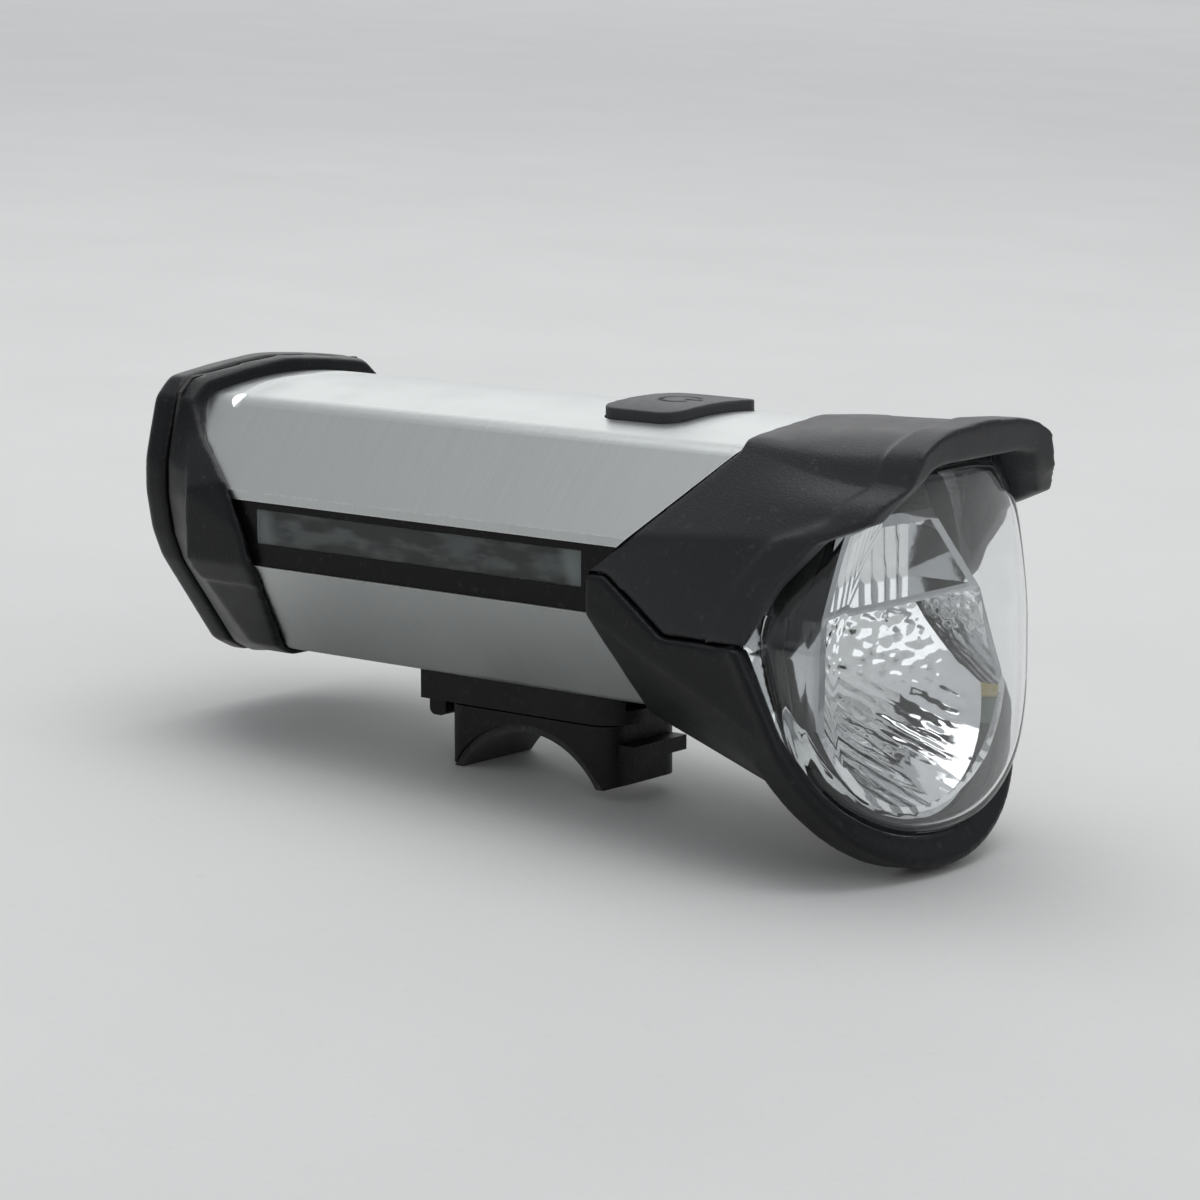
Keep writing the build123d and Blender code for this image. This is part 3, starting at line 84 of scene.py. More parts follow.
class Net:
    """One material's nodes. Positions are in the lamp's own frame, in millimetres."""

    def __init__(self, name):
        self.material = bpy.data.materials.new(name)
        self.material.use_nodes = True
        self.tree = self.material.node_tree
        self.tree.nodes.clear()
        self.shader = self.add("BsdfPrincipled")
        self.output = self.add("OutputMaterial")
        self.link(self.shader.outputs[0], self.output.inputs["Surface"])
        place = self.add("Mapping")
        place.inputs["Scale"].default_value = (1000, 1000, 1000)
        place.inputs["Rotation"].default_value = (TIP, 0, 0)
        place.inputs["Location"].default_value = -(LEVEL @ TIP_OFFSET)
        self.link(self.add("TexCoord").outputs["Object"], place.inputs["Vector"])
        self.place = place.outputs[0]
        axes = self.add("SeparateXYZ")
        self.link(self.place, axes.inputs[0])
        self.x, self.y, self.z = axes.outputs

    def add(self, kind, **settings):
        node = self.tree.nodes.new("ShaderNode" + kind)
        for key, value in settings.items():
            setattr(node, key, value)
        return node

    def link(self, source, target):
        if isinstance(source, bpy.types.NodeSocket):
            self.tree.links.new(source, target)
        else:
            target.default_value = source

    def math(self, operation, *values):
        node = self.add("Math", operation=operation)
        for value, socket in zip(values, node.inputs):
            self.link(value, socket)
        return node.outputs[0]

    def stretched(self, scale):
        node = self.add("Mapping")
        self.link(self.place, node.inputs["Vector"])
        node.inputs["Scale"].default_value = scale
        return node.outputs[0]

    def noise(self, scale, detail=3.0, stretch=(1, 1, 1), roughness=0.5):
        node = self.add("TexNoise")
        self.link(self.stretched(stretch), node.inputs["Vector"])
        node.inputs["Scale"].default_value = scale
        node.inputs["Detail"].default_value = detail
        node.inputs["Roughness"].default_value = roughness
        return node.outputs[0]

    def cells(self, scale, feature="F1"):
        node = self.add("TexVoronoi", feature=feature)
        self.link(self.place, node.inputs["Vector"])
        node.inputs["Scale"].default_value = scale
        return node.outputs["Distance"]

    def between(self, value, low, high):
        """0 below low, 1 above high, and a smooth step between them."""
        node = self.add("MapRange", interpolation_type="SMOOTHSTEP")
        self.link(value, node.inputs["Value"])
        node.inputs["From Min"].default_value = low
        node.inputs["From Max"].default_value = high
        return node.outputs[0]

    def mix(self, factor, first, second):
        node = self.add("Mix", data_type="RGBA")
        self.link(factor, node.inputs[0])
        for value, socket in ((first, node.inputs[6]), (second, node.inputs[7])):
            self.link((*value, 1) if isinstance(value, tuple) and len(value) == 3 else value, socket)
        return node.outputs[2]

    def blend(self, factor, first, second):
        node = self.add("Mix", data_type="FLOAT")
        for value, socket in ((factor, node.inputs[0]), (first, node.inputs[2]), (second, node.inputs[3])):
            self.link(value, socket)
        return node.outputs[0]

    def edges(self, radius):
        """1 along the piece's edges and 0 on its faces, broken up by noise."""
        bevel = self.add("Bevel", samples=4)
        bevel.inputs["Radius"].default_value = radius / 1000
        dot = self.add("VectorMath", operation="DOT_PRODUCT")
        self.link(bevel.outputs[0], dot.inputs[0])
        self.link(self.add("NewGeometry").outputs["Normal"], dot.inputs[1])
        turn = self.math("SUBTRACT", 1.0, dot.outputs["Value"])
        broken = self.math("MULTIPLY", turn, self.between(self.noise(1.1, 4.0), 0.35, 0.65))
        return self.between(broken, 0.004, 0.06)

    def bump(self, height, distance, strength=1.0, normal=None):
        node = self.add("Bump")
        node.inputs["Strength"].default_value = strength
        node.inputs["Distance"].default_value = distance / 1000
        self.link(height, node.inputs["Height"])
        if normal is not None:
            self.link(normal, node.inputs["Normal"])
        return node.outputs[0]

    def set(self, **sockets):
        """Sets the shader's sockets, named with _ for a space, to numbers or other nodes' outputs."""
        for name, value in sockets.items():
            self.link(value, self.shader.inputs[name.replace("_", " ")])


def shade(colour, factor):
    return tuple(min(1.0, channel * factor) for channel in colour)


def moulded(name, colour, rough=0.45, grain=0.06, worn=0.5, specular=0.5):
    """Moulded plastic: a fine eroded grain, faint mottling, handled shine and greyer edges."""
    net = Net(name)
    mottle = net.noise(0.12, 4.0)
    tone = net.mix(mottle, shade(colour, 0.8), shade(colour, 1.22))
    dust = net.between(net.noise(0.9, 6.0, roughness=0.7), 0.56, 0.78)
    tone = net.mix(net.math("MULTIPLY", dust, 0.10), tone, (0.30, 0.29, 0.27))
    wear = net.math("MULTIPLY", net.edges(0.35), worn)
    tone = net.mix(wear, tone, shade(colour, 2.6))
    gloss = net.blend(net.noise(0.3, 5.0), rough - 0.08, rough + 0.09)
    gloss = net.math("SUBTRACT", gloss, net.math("MULTIPLY", wear, 0.1))
    net.set(Base_Color=tone, Roughness=gloss, Specular_IOR_Level=specular)
    net.set(Normal=net.bump(net.noise(3.2, 2.0), grain, 0.7))
    return net.material


def rubber(name, colour):
    """Silicone or rubber: matt, with a soft sheen, a dry bloom and fine grain."""
    net = Net(name)
    tone = net.mix(net.noise(0.25, 5.0), shade(colour, 0.82), shade(colour, 1.2))
    bloom = net.between(net.noise(1.8, 5.0), 0.5, 0.8)
    tone = net.mix(net.math("MULTIPLY", bloom, 0.12), tone, (0.34, 0.34, 0.34))
    wear = net.edges(0.3)
    tone = net.mix(net.math("MULTIPLY", wear, 0.5), tone, shade(colour, 1.9))
    net.set(Base_Color=tone, Roughness=net.blend(net.noise(0.6, 4.0), 0.55, 0.72))
    net.set(Sheen_Weight=0.08, Sheen_Roughness=0.5)
    net.set(Normal=net.bump(net.noise(4.5, 2.0), 0.05, 0.6))
    return net.material


def brushed_metal(name, colour):
    """Aluminium brushed across the lamp's length: fine lines run round the tube."""
    net = Net(name)
    lines = net.noise(1.0, 4.0, stretch=(0.10, 9.0, 0.10), roughness=0.65)
    broad = net.noise(1.0, 3.0, stretch=(0.05, 1.1, 0.05))
    tone = net.mix(lines, shade(colour, 0.80), shade(colour, 1.12))
    tone = net.mix(net.math("MULTIPLY", broad, 0.25), tone, shade(colour, 0.9))
    smudge = net.between(net.noise(0.09, 4.0), 0.45, 0.75)
    tone = net.mix(net.math("MULTIPLY", smudge, 0.10), tone, shade(colour, 0.72))
    wear = net.edges(0.25)
    tone = net.mix(net.math("MULTIPLY", wear, 0.6), tone, (0.86, 0.86, 0.86))
    gloss = net.blend(lines, 0.27, 0.43)
    gloss = net.math("ADD", gloss, net.math("MULTIPLY", smudge, 0.06))
    net.set(Base_Color=tone, Metallic=1.0, Roughness=gloss, Anisotropic=0.55)
    net.set(Normal=net.bump(lines, 0.016, 0.6))
    tangent = net.add("Tangent", direction_type="RADIAL", axis="Y")
    net.set(Tangent=tangent.outputs[0])
    return net.material


def plain_metal(name, colour, rough=0.32):
    """Turned or stamped metal: fine scratches, small stains and bright edges."""
    net = Net(name)
    scratches = net.noise(1.0, 4.0, stretch=(7.0, 0.6, 1.0))
    tone = net.mix(scratches, shade(colour, 0.85), shade(colour, 1.08))
    stain = net.between(net.noise(1.6, 4.0), 0.55, 0.75)
    tone = net.mix(net.math("MULTIPLY", stain, 0.3), tone, shade(colour, 0.6))
    tone = net.mix(net.edges(0.2), tone, shade(colour, 1.25))
    net.set(Base_Color=tone, Metallic=1.0, Roughness=net.blend(scratches, rough - 0.08, rough + 0.1))
    net.set(Normal=net.bump(scratches, 0.01, 0.6))
    return net.material


def clear(name, tint, rough=0.02, smear=0.05):
    """Clear moulded plastic: lamps light what is behind it, with faint smears and fine scratches."""
    net = Net(name)
    smudge = net.between(net.noise(0.14, 5.0), 0.52, 0.78)
    scratch = net.between(net.noise(1.0, 5.0, stretch=(0.5, 3.0, 6.0)), 0.66, 0.72)
    gloss = net.math("ADD", rough, net.math("MULTIPLY", smudge, smear))
    gloss = net.math("ADD", gloss, net.math("MULTIPLY", scratch, 0.05))
    tone = net.mix(smudge, tint, shade(tint, 0.965))
    net.set(Base_Color=tone, Roughness=gloss, IOR=1.5, Transmission_Weight=1.0)
    net.set(Normal=net.bump(net.noise(0.22, 3.0), 0.02, 0.25))
    through = net.add("BsdfTransparent")
    through.inputs[0].default_value = (*shade(tint, 0.97), 1)
    path = net.add("LightPath")
    either = net.math("MAXIMUM", path.outputs["Is Shadow Ray"], path.outputs["Is Diffuse Ray"])
    blend = net.add("MixShader")
    net.link(either, blend.inputs[0])
    net.link(net.shader.outputs[0], blend.inputs[1])
    net.link(through.outputs[0], blend.inputs[2])
    net.link(blend.outputs[0], net.output.inputs["Surface"])
    return net.material


def mirror(name):
    """Metallised reflector: prism beads in the bowl's upper part, broken diagonal ribs below, clean wings."""
    net = Net(name)
    beads = net.cells(0.85, "SMOOTH_F1")
    across = net.math("ADD", net.x, net.math("MULTIPLY", net.z, 0.8))
    ribs = net.math("SINE", net.math("MULTIPLY", across, 2.3))
    upper = net.between(net.z, 1.0, 5.0)
    ribs = net.math("MULTIPLY", ribs, net.between(net.noise(0.16, 2.0), 0.35, 0.65))
    relief = net.blend(upper, net.math("MULTIPLY", ribs, 0.3), beads)
    below_shelf = net.between(net.z, 14.0, 13.0)
    inside_wings = net.between(net.math("ABSOLUTE", net.x), 15.5, 14.0)
    relief = net.math("MULTIPLY", relief, net.math("MULTIPLY", below_shelf, inside_wings))
    haze = net.noise(0.4, 4.0)
    tone = net.mix(haze, (0.84, 0.85, 0.855), (0.93, 0.935, 0.93))
    net.set(Base_Color=tone, Metallic=1.0, Roughness=net.blend(haze, 0.02, 0.07))
    net.set(Normal=net.bump(relief, 0.35, 0.8, net.bump(net.noise(0.5, 3.0), 0.03, 0.3)))
    return net.material


def circuit(name, colour):
    """Solder resist over copper tracks, with bare pads."""
    net = Net(name)
    tracks = net.add("TexBrick", offset=0.35, squash=0.8)
    net.link(net.stretched((0.5, 0.9, 1)), tracks.inputs["Vector"])
    tracks.inputs["Scale"].default_value = 1.0
    tracks.inputs["Mortar Size"].default_value = 0.07
    line = tracks.outputs["Fac"]
    tone = net.mix(line, colour, shade(colour, 1.9))
    pads = net.between(net.cells(0.42), 0.13, 0.10)
    tone = net.mix(pads, tone, (0.62, 0.46, 0.2))
    tone = net.mix(net.math("MULTIPLY", net.noise(0.6, 4.0), 0.25), tone, shade(colour, 0.6))
    net.set(Base_Color=tone, Metallic=net.math("MULTIPLY", pads, 0.9))
    net.set(Roughness=net.blend(net.noise(1.2, 4.0), 0.28, 0.42), Coat_Weight=0.3)
    net.set(Normal=net.bump(net.math("ADD", line, pads), 0.05, 0.6))
    return net.material


def button_rubber(name, colour):
    """The pad's rubber: painted shade darkening its sides below the top, a greyer top with rubbed edges, and black
    in the sunk power sign.
    """
    net = Net(name)
    tone = net.mix(net.noise(0.35, 5.0), shade(colour, 0.85), shade(colour, 1.15))
    bloom = net.between(net.noise(2.2, 5.0), 0.5, 0.8)
    tone = net.mix(net.math("MULTIPLY", bloom, 0.10), tone, (0.36, 0.36, 0.36))
    tone = net.mix(net.math("MULTIPLY", net.edges(0.35), 0.45), tone, shade(colour, 1.8))
    # Painted shade: the pad's sides below its top are darkened to about a third of its colour.
    side = net.between(net.z, 34.6, 33.9)
    tone = net.mix(side, tone, shade(colour, 0.35))
    ahead = net.math("SUBTRACT", GLYPH_Y, net.y)
    across = net.math("ABSOLUTE", net.x)
    radius = net.math("SQRT", net.math(
        "ADD", net.math("POWER", across, 2.0), net.math("POWER", ahead, 2.0)))
    ring = net.between(net.math("ABSOLUTE", net.math("SUBTRACT", radius, GLYPH_RING)), 0.42, 0.3)
    beside_gap = net.math("MAXIMUM", net.between(across, 0.75, 0.95), net.between(ahead, 0.3, 0.0))
    ring = net.math("MULTIPLY", ring, beside_gap)
    bar_length = net.math("MULTIPLY", net.between(ahead, 0.5, 0.7), net.between(ahead, 3.4, 3.2))
    bar = net.math("MULTIPLY", net.between(across, 0.42, 0.3), bar_length)
    above_base = net.between(net.z, 33.4, 33.6)
    sign = net.math("MULTIPLY", net.math("MAXIMUM", ring, bar), above_base)
    tone = net.mix(sign, tone, (0.006, 0.006, 0.007))
    net.set(Base_Color=tone, Roughness=net.blend(net.noise(0.8, 4.0), 0.5, 0.68), Sheen_Weight=0.06)
    net.set(Normal=net.bump(net.noise(5.0, 2.0), 0.05, 0.6))
    return net.material


def phosphor(name):
    """The light source's yellow phosphor under a glossy coat, with paler grains."""
    net = Net(name)
    tone = net.mix(net.noise(3.0, 4.0), (0.78, 0.62, 0.12), (0.9, 0.78, 0.28))
    grains = net.between(net.cells(0.7), 0.5, 0.55)
    tone = net.mix(net.math("MULTIPLY", grains, 0.3), tone, (0.9, 0.9, 0.85))
    net.set(Base_Color=tone, Roughness=net.blend(net.noise(2.0), 0.35, 0.5), Coat_Weight=0.6)
    net.set(Normal=net.bump(net.noise(6.0), 0.02, 0.4))
    return net.material


def side_film(name):
    """The dim film behind a side window: cloudy along its length, with painted highlights at its slanting front
    and rear borders where the clear window catches the light.
    """
    net = Net(name)
    cloud = net.between(net.noise(1.0, 3.0, stretch=(0.2, 0.17, 0.5)), 0.42, 0.66)
    tone = net.mix(cloud, (0.020, 0.023, 0.022), (0.115, 0.125, 0.12))
    # Painted highlight: the film is made pale at its slanting front and rear borders, where the clear window
    # catches the light.
    slanting = net.math("ADD", net.y, net.math("MULTIPLY", net.z, -0.35))
    rear_end_glint, front_end_glint = net.between(slanting, 41.5, 44.5), net.between(slanting, -2.2, -4.2)
    end_glints = net.math("MAXIMUM", rear_end_glint, front_end_glint)
    tone = net.mix(net.math("MULTIPLY", end_glints, 0.8), tone, (0.30, 0.32, 0.31))
    net.set(Base_Color=tone, Roughness=net.blend(net.noise(0.8, 4.0), 0.3, 0.5))
    net.set(Normal=net.bump(net.noise(1.6, 3.0), 0.05, 0.5))
    return net.material


def visor_plastic(name, colour):
    """The hood's satin dark-grey plastic: duller and dustier than the black one."""
    net = Net(name)
    tone = net.mix(net.noise(0.12, 4.0), shade(colour, 0.82), shade(colour, 1.2))
    dust = net.between(net.noise(0.9, 6.0, roughness=0.7), 0.56, 0.78)
    tone = net.mix(net.math("MULTIPLY", dust, 0.12), tone, (0.30, 0.29, 0.27))
    # The lighter edges are partly wear and partly a painted highlight along the hood's crease and rims.
    wear = net.math("MULTIPLY", net.edges(0.35), 0.5)
    tone = net.mix(wear, tone, shade(colour, 2.4))
    gloss = net.blend(net.noise(0.3, 5.0), 0.38, 0.52)
    net.set(Base_Color=tone, Roughness=gloss, Specular_IOR_Level=0.4)
    net.set(Normal=net.bump(net.noise(3.4, 2.0), 0.06, 0.7))
    return net.material


SLOTS = {
    "tube": brushed_metal("tube_brushed", (0.585, 0.61, 0.60)),
    "strip": moulded("strip_gloss", (0.004, 0.004, 0.0045), rough=0.28, grain=0.02, worn=0.35, specular=0.15),
    "window": clear("window_clear", (0.80, 0.84, 0.84), rough=0.10, smear=0.12),
    "side_board": side_film("side_board_film"),
    "shell_black": moulded("shell_black_satin", (0.005, 0.0055, 0.0065), rough=0.36, specular=0.25),
    "shell_grey": visor_plastic("shell_grey_satin", (0.013, 0.0138, 0.0155)),
    "seal": rubber("seal_rubber", (0.02, 0.02, 0.02)),
    "screw": plain_metal("screw_steel", (0.25, 0.25, 0.26)),
    "steel": plain_metal("steel_bright", (0.56, 0.55, 0.54)),
    "flap_rubber": rubber("flap_rubber", (0.018, 0.018, 0.018)),
    "lens": clear("lens_clear", (0.96, 0.975, 0.98)),
    "mirror_coat": mirror("mirror_coat"),
    "board": circuit("board_resist", (0.012, 0.07, 0.03)),
    "emitter": phosphor("emitter_phosphor"),
    "cooler": plain_metal("cooler_metal", (0.52, 0.52, 0.53), rough=0.4),
    "cell_wrap": moulded("cell_wrap_film", (0.015, 0.10, 0.26), rough=0.25, grain=0.02),
    "cradle": moulded("cradle_plastic", (0.03, 0.03, 0.03), rough=0.55),
    "nickel": plain_metal("nickel_strip", (0.60, 0.57, 0.51)),
    "pad_rubber": button_rubber("pad_silicone", (0.058, 0.060, 0.064)),
    "bracket": moulded("bracket_black", (0.005, 0.005, 0.005), rough=0.5, grain=0.09, specular=0.3),
    "bar_rubber": rubber("bar_rubber", (0.02, 0.02, 0.02)),
}

for part in frame["record"]["subparts"]:
    mesh_object = nodes[part["node"]]
    material = SLOTS[part["material_slot"]]
    for slot in mesh_object.material_slots:
        slot.link = "OBJECT"
        slot.material = material


def piece(name, mesh, body, slot, *replaced):
    """A visual piece that rides on a body, in its slot's material, in place of the replaced nodes."""
    made = bpy.data.objects.new(name, mesh)
    bpy.context.scene.collection.objects.link(made)
    made.data.materials.clear()
    made.data.materials.append(SLOTS[slot])
    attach(made, body)
    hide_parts(*replaced)


def mesh_of(points, faces):
    """A smooth-shaded mesh from points in the lamp's own frame."""
    mesh = bpy.data.meshes.new("form")
    mesh.from_pydata([placed(point) for point in points], [], faces)
    for polygon in mesh.polygons:
        polygon.use_smooth = True
    return mesh


def finished(mesh, *modifiers):
    """The mesh with modifiers applied, each given as (type, settings)."""
    worker = bpy.data.objects.new("worker", mesh)
    bpy.context.scene.collection.objects.link(worker)
    for kind, settings in modifiers:
        modifier = worker.modifiers.new(kind, kind)
        for key, value in settings.items():
            setattr(modifier, key, value)
    bpy.context.view_layer.update()
    done = bpy.data.meshes.new_from_object(worker.evaluated_get(bpy.context.evaluated_depsgraph_get()))
    bpy.data.objects.remove(worker)
    return done


def joined(*meshes):
    form = bmesh.new()
    for mesh in meshes:
        form.from_mesh(mesh)
    bmesh.ops.remove_doubles(form, verts=form.verts, dist=1e-6)
    mesh = bpy.data.meshes.new("joined")
    form.to_mesh(mesh)
    form.free()
    return mesh


def outward(mesh, split=False):
    """The mesh with its faces turned outward, and split into triangles first if asked."""
    form = bmesh.new()
    form.from_mesh(mesh)
    if split:
        bmesh.ops.triangulate(form, faces=form.faces)
    bmesh.ops.recalc_face_normals(form, faces=form.faces)
    form.to_mesh(mesh)
    form.free()
    return mesh


def eased(value, low, high):
    """0 below low, 1 above high, and a smooth step between them."""
    share = max(0.0, min(1.0, (value - low) / (high - low)))
    return share * share * (3 - 2 * share)


def arched_cap(point):
    """The cap's top falls away towards its sides."""
    beside = min(1.0, abs(point.x) / 17)
    point.z -= beside ** 2 * eased(point.z, 24, 33)
    return point


def arched_hood(point):
    """The hood's tip falls away towards its sides."""
    beside = min(1.2, max(0.0, abs(point.x) - 6.0) / 7)
    point.z -= 1.8 * beside ** 2 * eased(point.z, 26, 33) * eased(-point.y, 14, 34)
    return point


def moulded_form(node, voxel, rounds, keep, added, bend):
    """A node's form as it comes from a mould: every edge rounded, with added forms grown into it."""
    mesh = joined(nodes[node].data, *added)
    mesh = finished(
        mesh,
        ("REMESH", {"mode": "VOXEL", "voxel_size": voxel / 1000, "use_smooth_shade": True}),
        ("SMOOTH", {"factor": 0.5, "iterations": rounds}))
    if bend:
        for vertex in mesh.vertices:
            vertex.co = placed(bend(levelled(vertex.co)))
    mesh = finished(mesh, ("DECIMATE", {"ratio": keep}))
    for polygon in mesh.polygons:
        polygon.use_smooth = True
    return mesh


def loop_through(points, count):
    """A closed smooth curve through the right half's (x, z) points, mirrored, as count points."""
    ring = points + [(-x, z) for x, z in reversed(points[1:-1])]
    size = len(ring)
    curve = []
    for index in range(size):
        a, b, c, d = (Vector(ring[(index + step) % size]) for step in (-1, 0, 1, 2))
        for step in range(8):
            t = step / 8
            curve.append(0.5 * ((2 * b) + (c - a) * t + (2 * a - 5 * b + 4 * c - d) * t ** 2
                                + (3 * b - a - 3 * c + d) * t ** 3))
    lengths = [0.0]
    for first, second in zip(curve, curve[1:] + curve[:1]):
        lengths.append(lengths[-1] + (second - first).length)
    even, at = [], 0
    for index in range(count):
        target = lengths[-1] * index / count
        while lengths[at + 1] < target:
            at += 1
        share = (target - lengths[at]) / (lengths[at + 1] - lengths[at])
        even.append(curve[at].lerp(curve[(at + 1) % len(curve)], share))
    return even


def skin(rings, tip):
    """Quads between rings of equal count, with the last ring closed by a fan to the tip."""
    count = len(rings[0])
    points = [point for ring in rings for point in ring]
    faces = []
    for row in range(len(rings) - 1):
        for index in range(count):
            following = (index + 1) % count
            faces.append((row * count + index, row * count + following,
                          (row + 1) * count + following, (row + 1) * count + index))
    last = (len(rings) - 1) * count
    for index in range(count):
        faces.append((last + index, last + (index + 1) % count, len(points)))
    return points + [tip], faces


# The lens from the front: right half from the top down, as (x, z)
LENS_LOOP = [(0, 31.0), (6.5, 30.9), (10.4, 30.2), (13.6, 27.2), (16.4, 23.2), (18.7, 18.0), (20.5, 12.5),
             (20.9, 8.5), (20.9, 2.5), (19.9, -1.8), (17.5, -5.7), (13.0, -9.0), (7.0, -11.2), (0, -11.9)]
LENS_POINTS = 144
LENS_CENTRE = Vector((0.0, 9.5))
LENS_FRONT_Y = -36.2
LENS_BOW = 60.0
LENS_EDGE = 2.4
LENS_WALL = 1.3
LENS_SEAT_Y = -21.7
LENS_SIDE_LEAST = 0.3

# Below its corner the lower shell's rim leans forward
RIM_CORNER_Z = 11.0
RIM_SLOPE = 0.502


def lens_piece():
    """The clear lens: a bowed face, a round edge and a side wall that follows the rim."""
    outline = loop_through(LENS_LOOP, LENS_POINTS)

    def ring(inset, back, share=0.0):
        """The outline moved inward, then by share towards the centre, at back behind the bowed face."""
        points = []
        for at in outline:
            inward = (at + (LENS_CENTRE - at).normalized() * inset).lerp(LENS_CENTRE, share)
            face = LENS_FRONT_Y + LENS_BOW - math.sqrt(LENS_BOW ** 2 - inward.x ** 2)
            points.append((inward.x, face + back, inward.y))
        return points

    start = ring(0, LENS_EDGE)
    halfway, rear = [], []
    for x, y, z in start:
        seat = LENS_SEAT_Y - max(0.0, RIM_CORNER_Z - z) * RIM_SLOPE
        halfway.append((x, (y + max(y, seat)) / 2, z))
        rear.append((x, max(y + LENS_SIDE_LEAST, seat), z))
    rings = [rear, halfway, start]
    for step in range(1, 7):
        angle = math.radians(15 * step)
        rings.append(ring(LENS_EDGE * (1 - math.cos(angle)), LENS_EDGE * (1 - math.sin(angle))))
    for share in (0.15, 0.3, 0.5, 0.7, 0.88):
        rings.append(ring(LENS_EDGE, 0, share))
    mesh = outward(mesh_of(*skin(rings, (0, LENS_FRONT_Y, LENS_CENTRE.y))))
    mesh = finished(mesh, ("SOLIDIFY", {"thickness": LENS_WALL / 1000, "offset": -1.0}))
    piece("lens_dome", mesh, "lamp", "lens", "lens")


# The plate that bends the collar's front edge, from the side, as (y, z), and how far it stands off the tube
CHEEK_LOOP = [(64.4, 27.8), (59.9, 24.7), (55.4, 21.9), (52.4, 16.5), (51.4, 12.7), (52.4, 10.4), (62.0, 10.4),
              (62.0, 12.7), (62.0, 21.0), (66.0, 27.8)]
CHEEK_INNER = 0.12
CHEEK_OUTER = 1.15


def off_tube(z, stand):
    """The point (x, z) that stands off the tube's right side at height z."""
    run, drop = LEDGE - SHOULDER
    fall = max(0.0, min(1.0, (SHOULDER.y - z) / -drop))
    x = SHOULDER.x + run * fall - max(0.0, CHANNEL_BOTTOM_Z - z) * LOWER_FACET_FALL
    away = Vector((1.0, 0.0))
    if z > LEDGE.y:
        away = Vector((-drop, run)).normalized()
    elif z < CHANNEL_BOTTOM_Z:
        away = Vector((0.733, -0.68))
    return x + away.x * stand, z + away.y * stand


def chevron_cheek(side):
    """A thin plate on the tube's side that gives the collar's front edge its two bends."""
    points = []
    for stand in (CHEEK_INNER, CHEEK_OUTER):
        for y, z in CHEEK_LOOP:
            x, height = off_tube(z, stand)
            points.append((side * x, y, height))
    count = len(CHEEK_LOOP)
    faces = [tuple(range(count)), tuple(reversed(range(count, 2 * count)))]
    for index in range(count):
        following = (index + 1) % count
        faces.append((index, following, count + following, count + index))
    return outward(mesh_of(points, faces), split=True)


# Each piece with the node that it replaces, its body and slot, the voxels' size in millimetres, the rounds of
# smoothing, the share of faces kept, and how it is bent
MOULDINGS = (
    ("collar_moulding", "rear_collar", "lamp", "shell_black", 0.33, 16, 0.35, arched_cap),
    ("cover_moulding", "rear_cover", "lamp", "shell_black", 0.33, 26, 0.35, arched_cap),
    ("visor_moulding", "visor_shell", "lamp", "shell_grey", 0.30, 24, 0.70, arched_hood),
    ("bezel_moulding", "bezel_shell", "lamp", "shell_black", 0.30, 18, 0.35, None),
    ("pad_moulding", "button_pad", "button", "pad_rubber", 0.14, 8, 0.35, None),
)


def add_moulded_pieces():
    for name, node, body, slot, voxel, rounds, keep, bend in MOULDINGS:
        added = [chevron_cheek(1), chevron_cheek(-1)] if node == "rear_collar" else []
        piece(name, moulded_form(node, voxel, rounds, keep, added, bend), body, slot, node)


def floor_material():
    """Pale and matt, with faint flecks."""
    net = Net("floor_pale")
    tone = net.mix(net.noise(0.02, 5.0), (0.60, 0.60, 0.595), (0.66, 0.66, 0.655))
    fleck = net.between(net.noise(0.8, 4.0), 0.6, 0.75)
    tone = net.mix(net.math("MULTIPLY", fleck, 0.15), tone, (0.5, 0.5, 0.49))
    net.set(Base_Color=tone, Roughness=net.blend(net.noise(0.05), 0.7, 0.85), Specular_IOR_Level=0.2)
    net.set(Normal=net.bump(net.noise(0.9, 4.0), 0.12, 0.4))
    return net.material


def add_floor():
    bpy.ops.mesh.primitive_plane_add(size=12.0, location=(0, 0, 0))
    floor = bpy.context.object
    floor.name = "floor"
    floor.data.materials.append(floor_material())


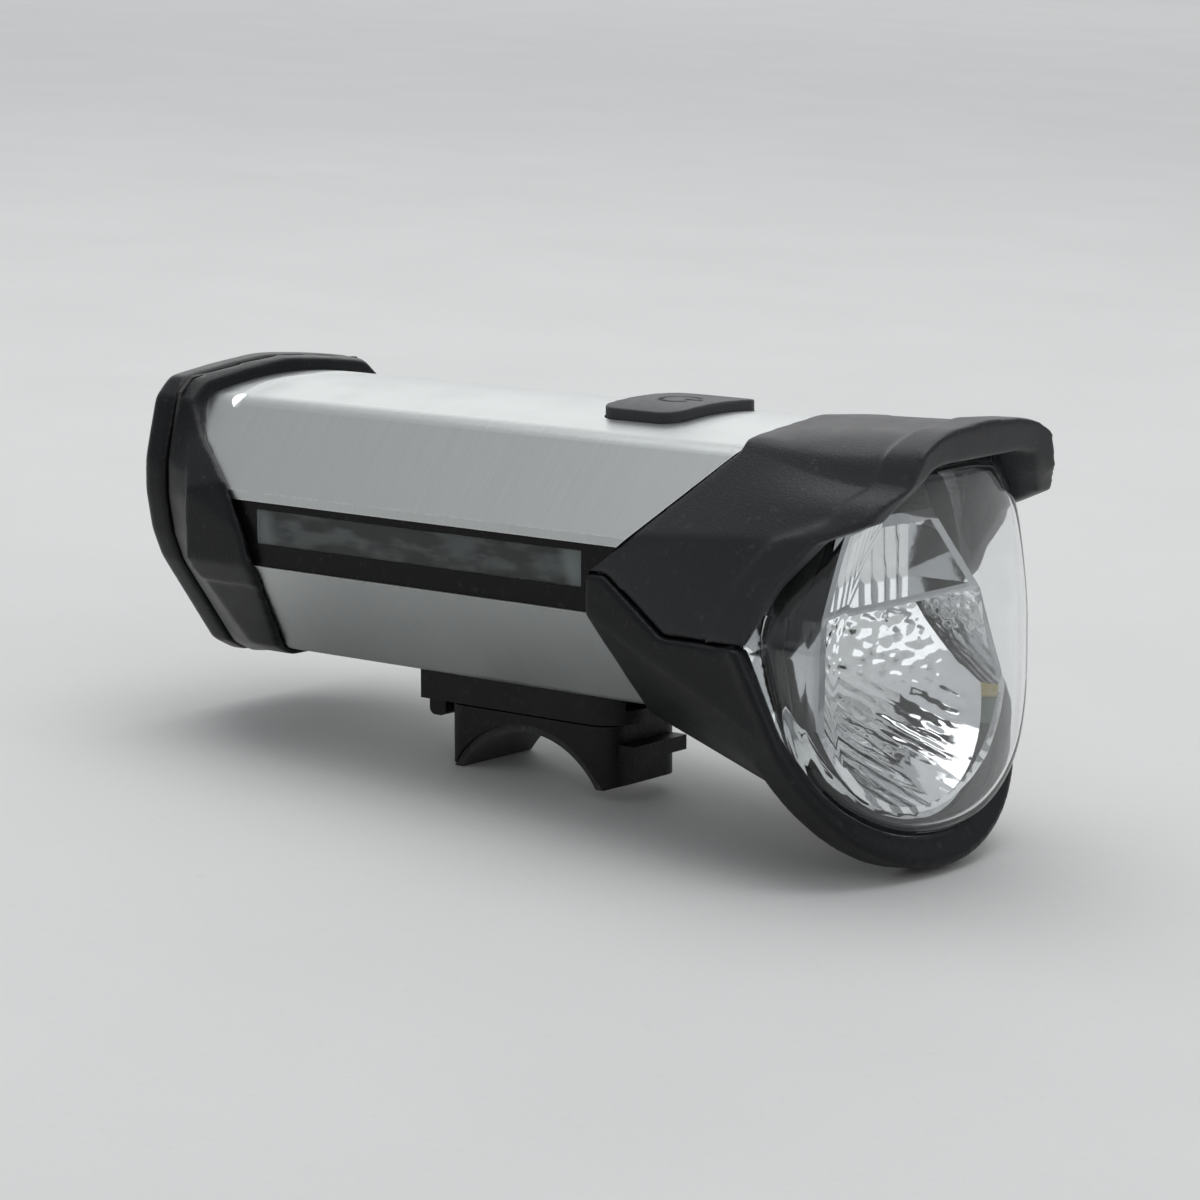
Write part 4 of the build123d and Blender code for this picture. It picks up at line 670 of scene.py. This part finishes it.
def add_world():
    """An overcast sky: brightest overhead, plain and softer at the horizon."""
    world = bpy.data.worlds.new("overcast")
    bpy.context.scene.world = world
    world.use_nodes = True
    tree = world.node_tree
    tree.nodes.clear()
    coord = tree.nodes.new("ShaderNodeTexCoord")
    axes = tree.nodes.new("ShaderNodeSeparateXYZ")
    ramp = tree.nodes.new("ShaderNodeValToRGB")
    background = tree.nodes.new("ShaderNodeBackground")
    output = tree.nodes.new("ShaderNodeOutputWorld")
    tree.links.new(coord.outputs["Generated"], axes.inputs[0])
    tree.links.new(axes.outputs["Z"], ramp.inputs[0])
    stops = ((0.0, (0.20, 0.21, 0.22)), (0.25, (0.40, 0.41, 0.42)), (0.75, (0.62, 0.63, 0.65)))
    ramp.color_ramp.elements.new(0.5)
    for element, (position, colour) in zip(ramp.color_ramp.elements, stops):
        element.position = position
        element.color = (*colour, 1)
    tree.links.new(ramp.outputs[0], background.inputs["Color"])
    background.inputs["Strength"].default_value = 0.9
    tree.links.new(background.outputs[0], output.inputs["Surface"])


def add_lamp(name, place, aim, size, power):
    """A white rectangular area lamp at place, turned to aim, in metres and watts."""
    data = bpy.data.lights.new(name, "AREA")
    data.shape = "RECTANGLE"
    data.size, data.size_y = size
    data.energy = power
    lamp = bpy.data.objects.new(name, data)
    bpy.context.scene.collection.objects.link(lamp)
    lamp.location = place
    lamp.rotation_euler = (Vector(aim) - Vector(place)).to_track_quat("-Z", "Y").to_euler()


def add_camera():
    """The photograph's camera."""
    data = bpy.data.cameras.new("photo_camera")
    data.lens = CAMERA_LENS
    data.sensor_width = 36.0
    data.clip_start = 0.01
    camera = bpy.data.objects.new("photo_camera", data)
    bpy.context.scene.collection.objects.link(camera)
    azimuth, elevation = math.radians(CAMERA_AZIMUTH), math.radians(CAMERA_ELEVATION)
    back = Vector((math.sin(azimuth) * math.cos(elevation), -math.cos(azimuth) * math.cos(elevation),
                   math.sin(elevation)))
    look = (-back).to_track_quat("-Z", "Y").to_matrix() @ Matrix.Rotation(math.radians(CAMERA_ROLL), 3, "Z")
    camera.location = placed(CAMERA_AIM + back * CAMERA_DISTANCE)
    camera.rotation_euler = (LEVEL.inverted() @ look).to_euler()
    bpy.context.scene.camera = camera


add_moulded_pieces()
lens_piece()
add_floor()
add_world()
add_lamp("sky_panel", (0.1, 0.1, 0.9), (0, 0, 0.02), (0.9, 0.9), 5.0)
add_lamp("far_panel", (1.52, 1.26, 0.80), (0, 0, 0.03), (2.4, 1.1), 8.5)
add_lamp("front_sky", (-0.5, -1.9, 0.95), (0, 0, 0.03), (2.2, 1.1), 5.5)
add_camera()

bpy.context.scene.view_settings.view_transform = "Standard"
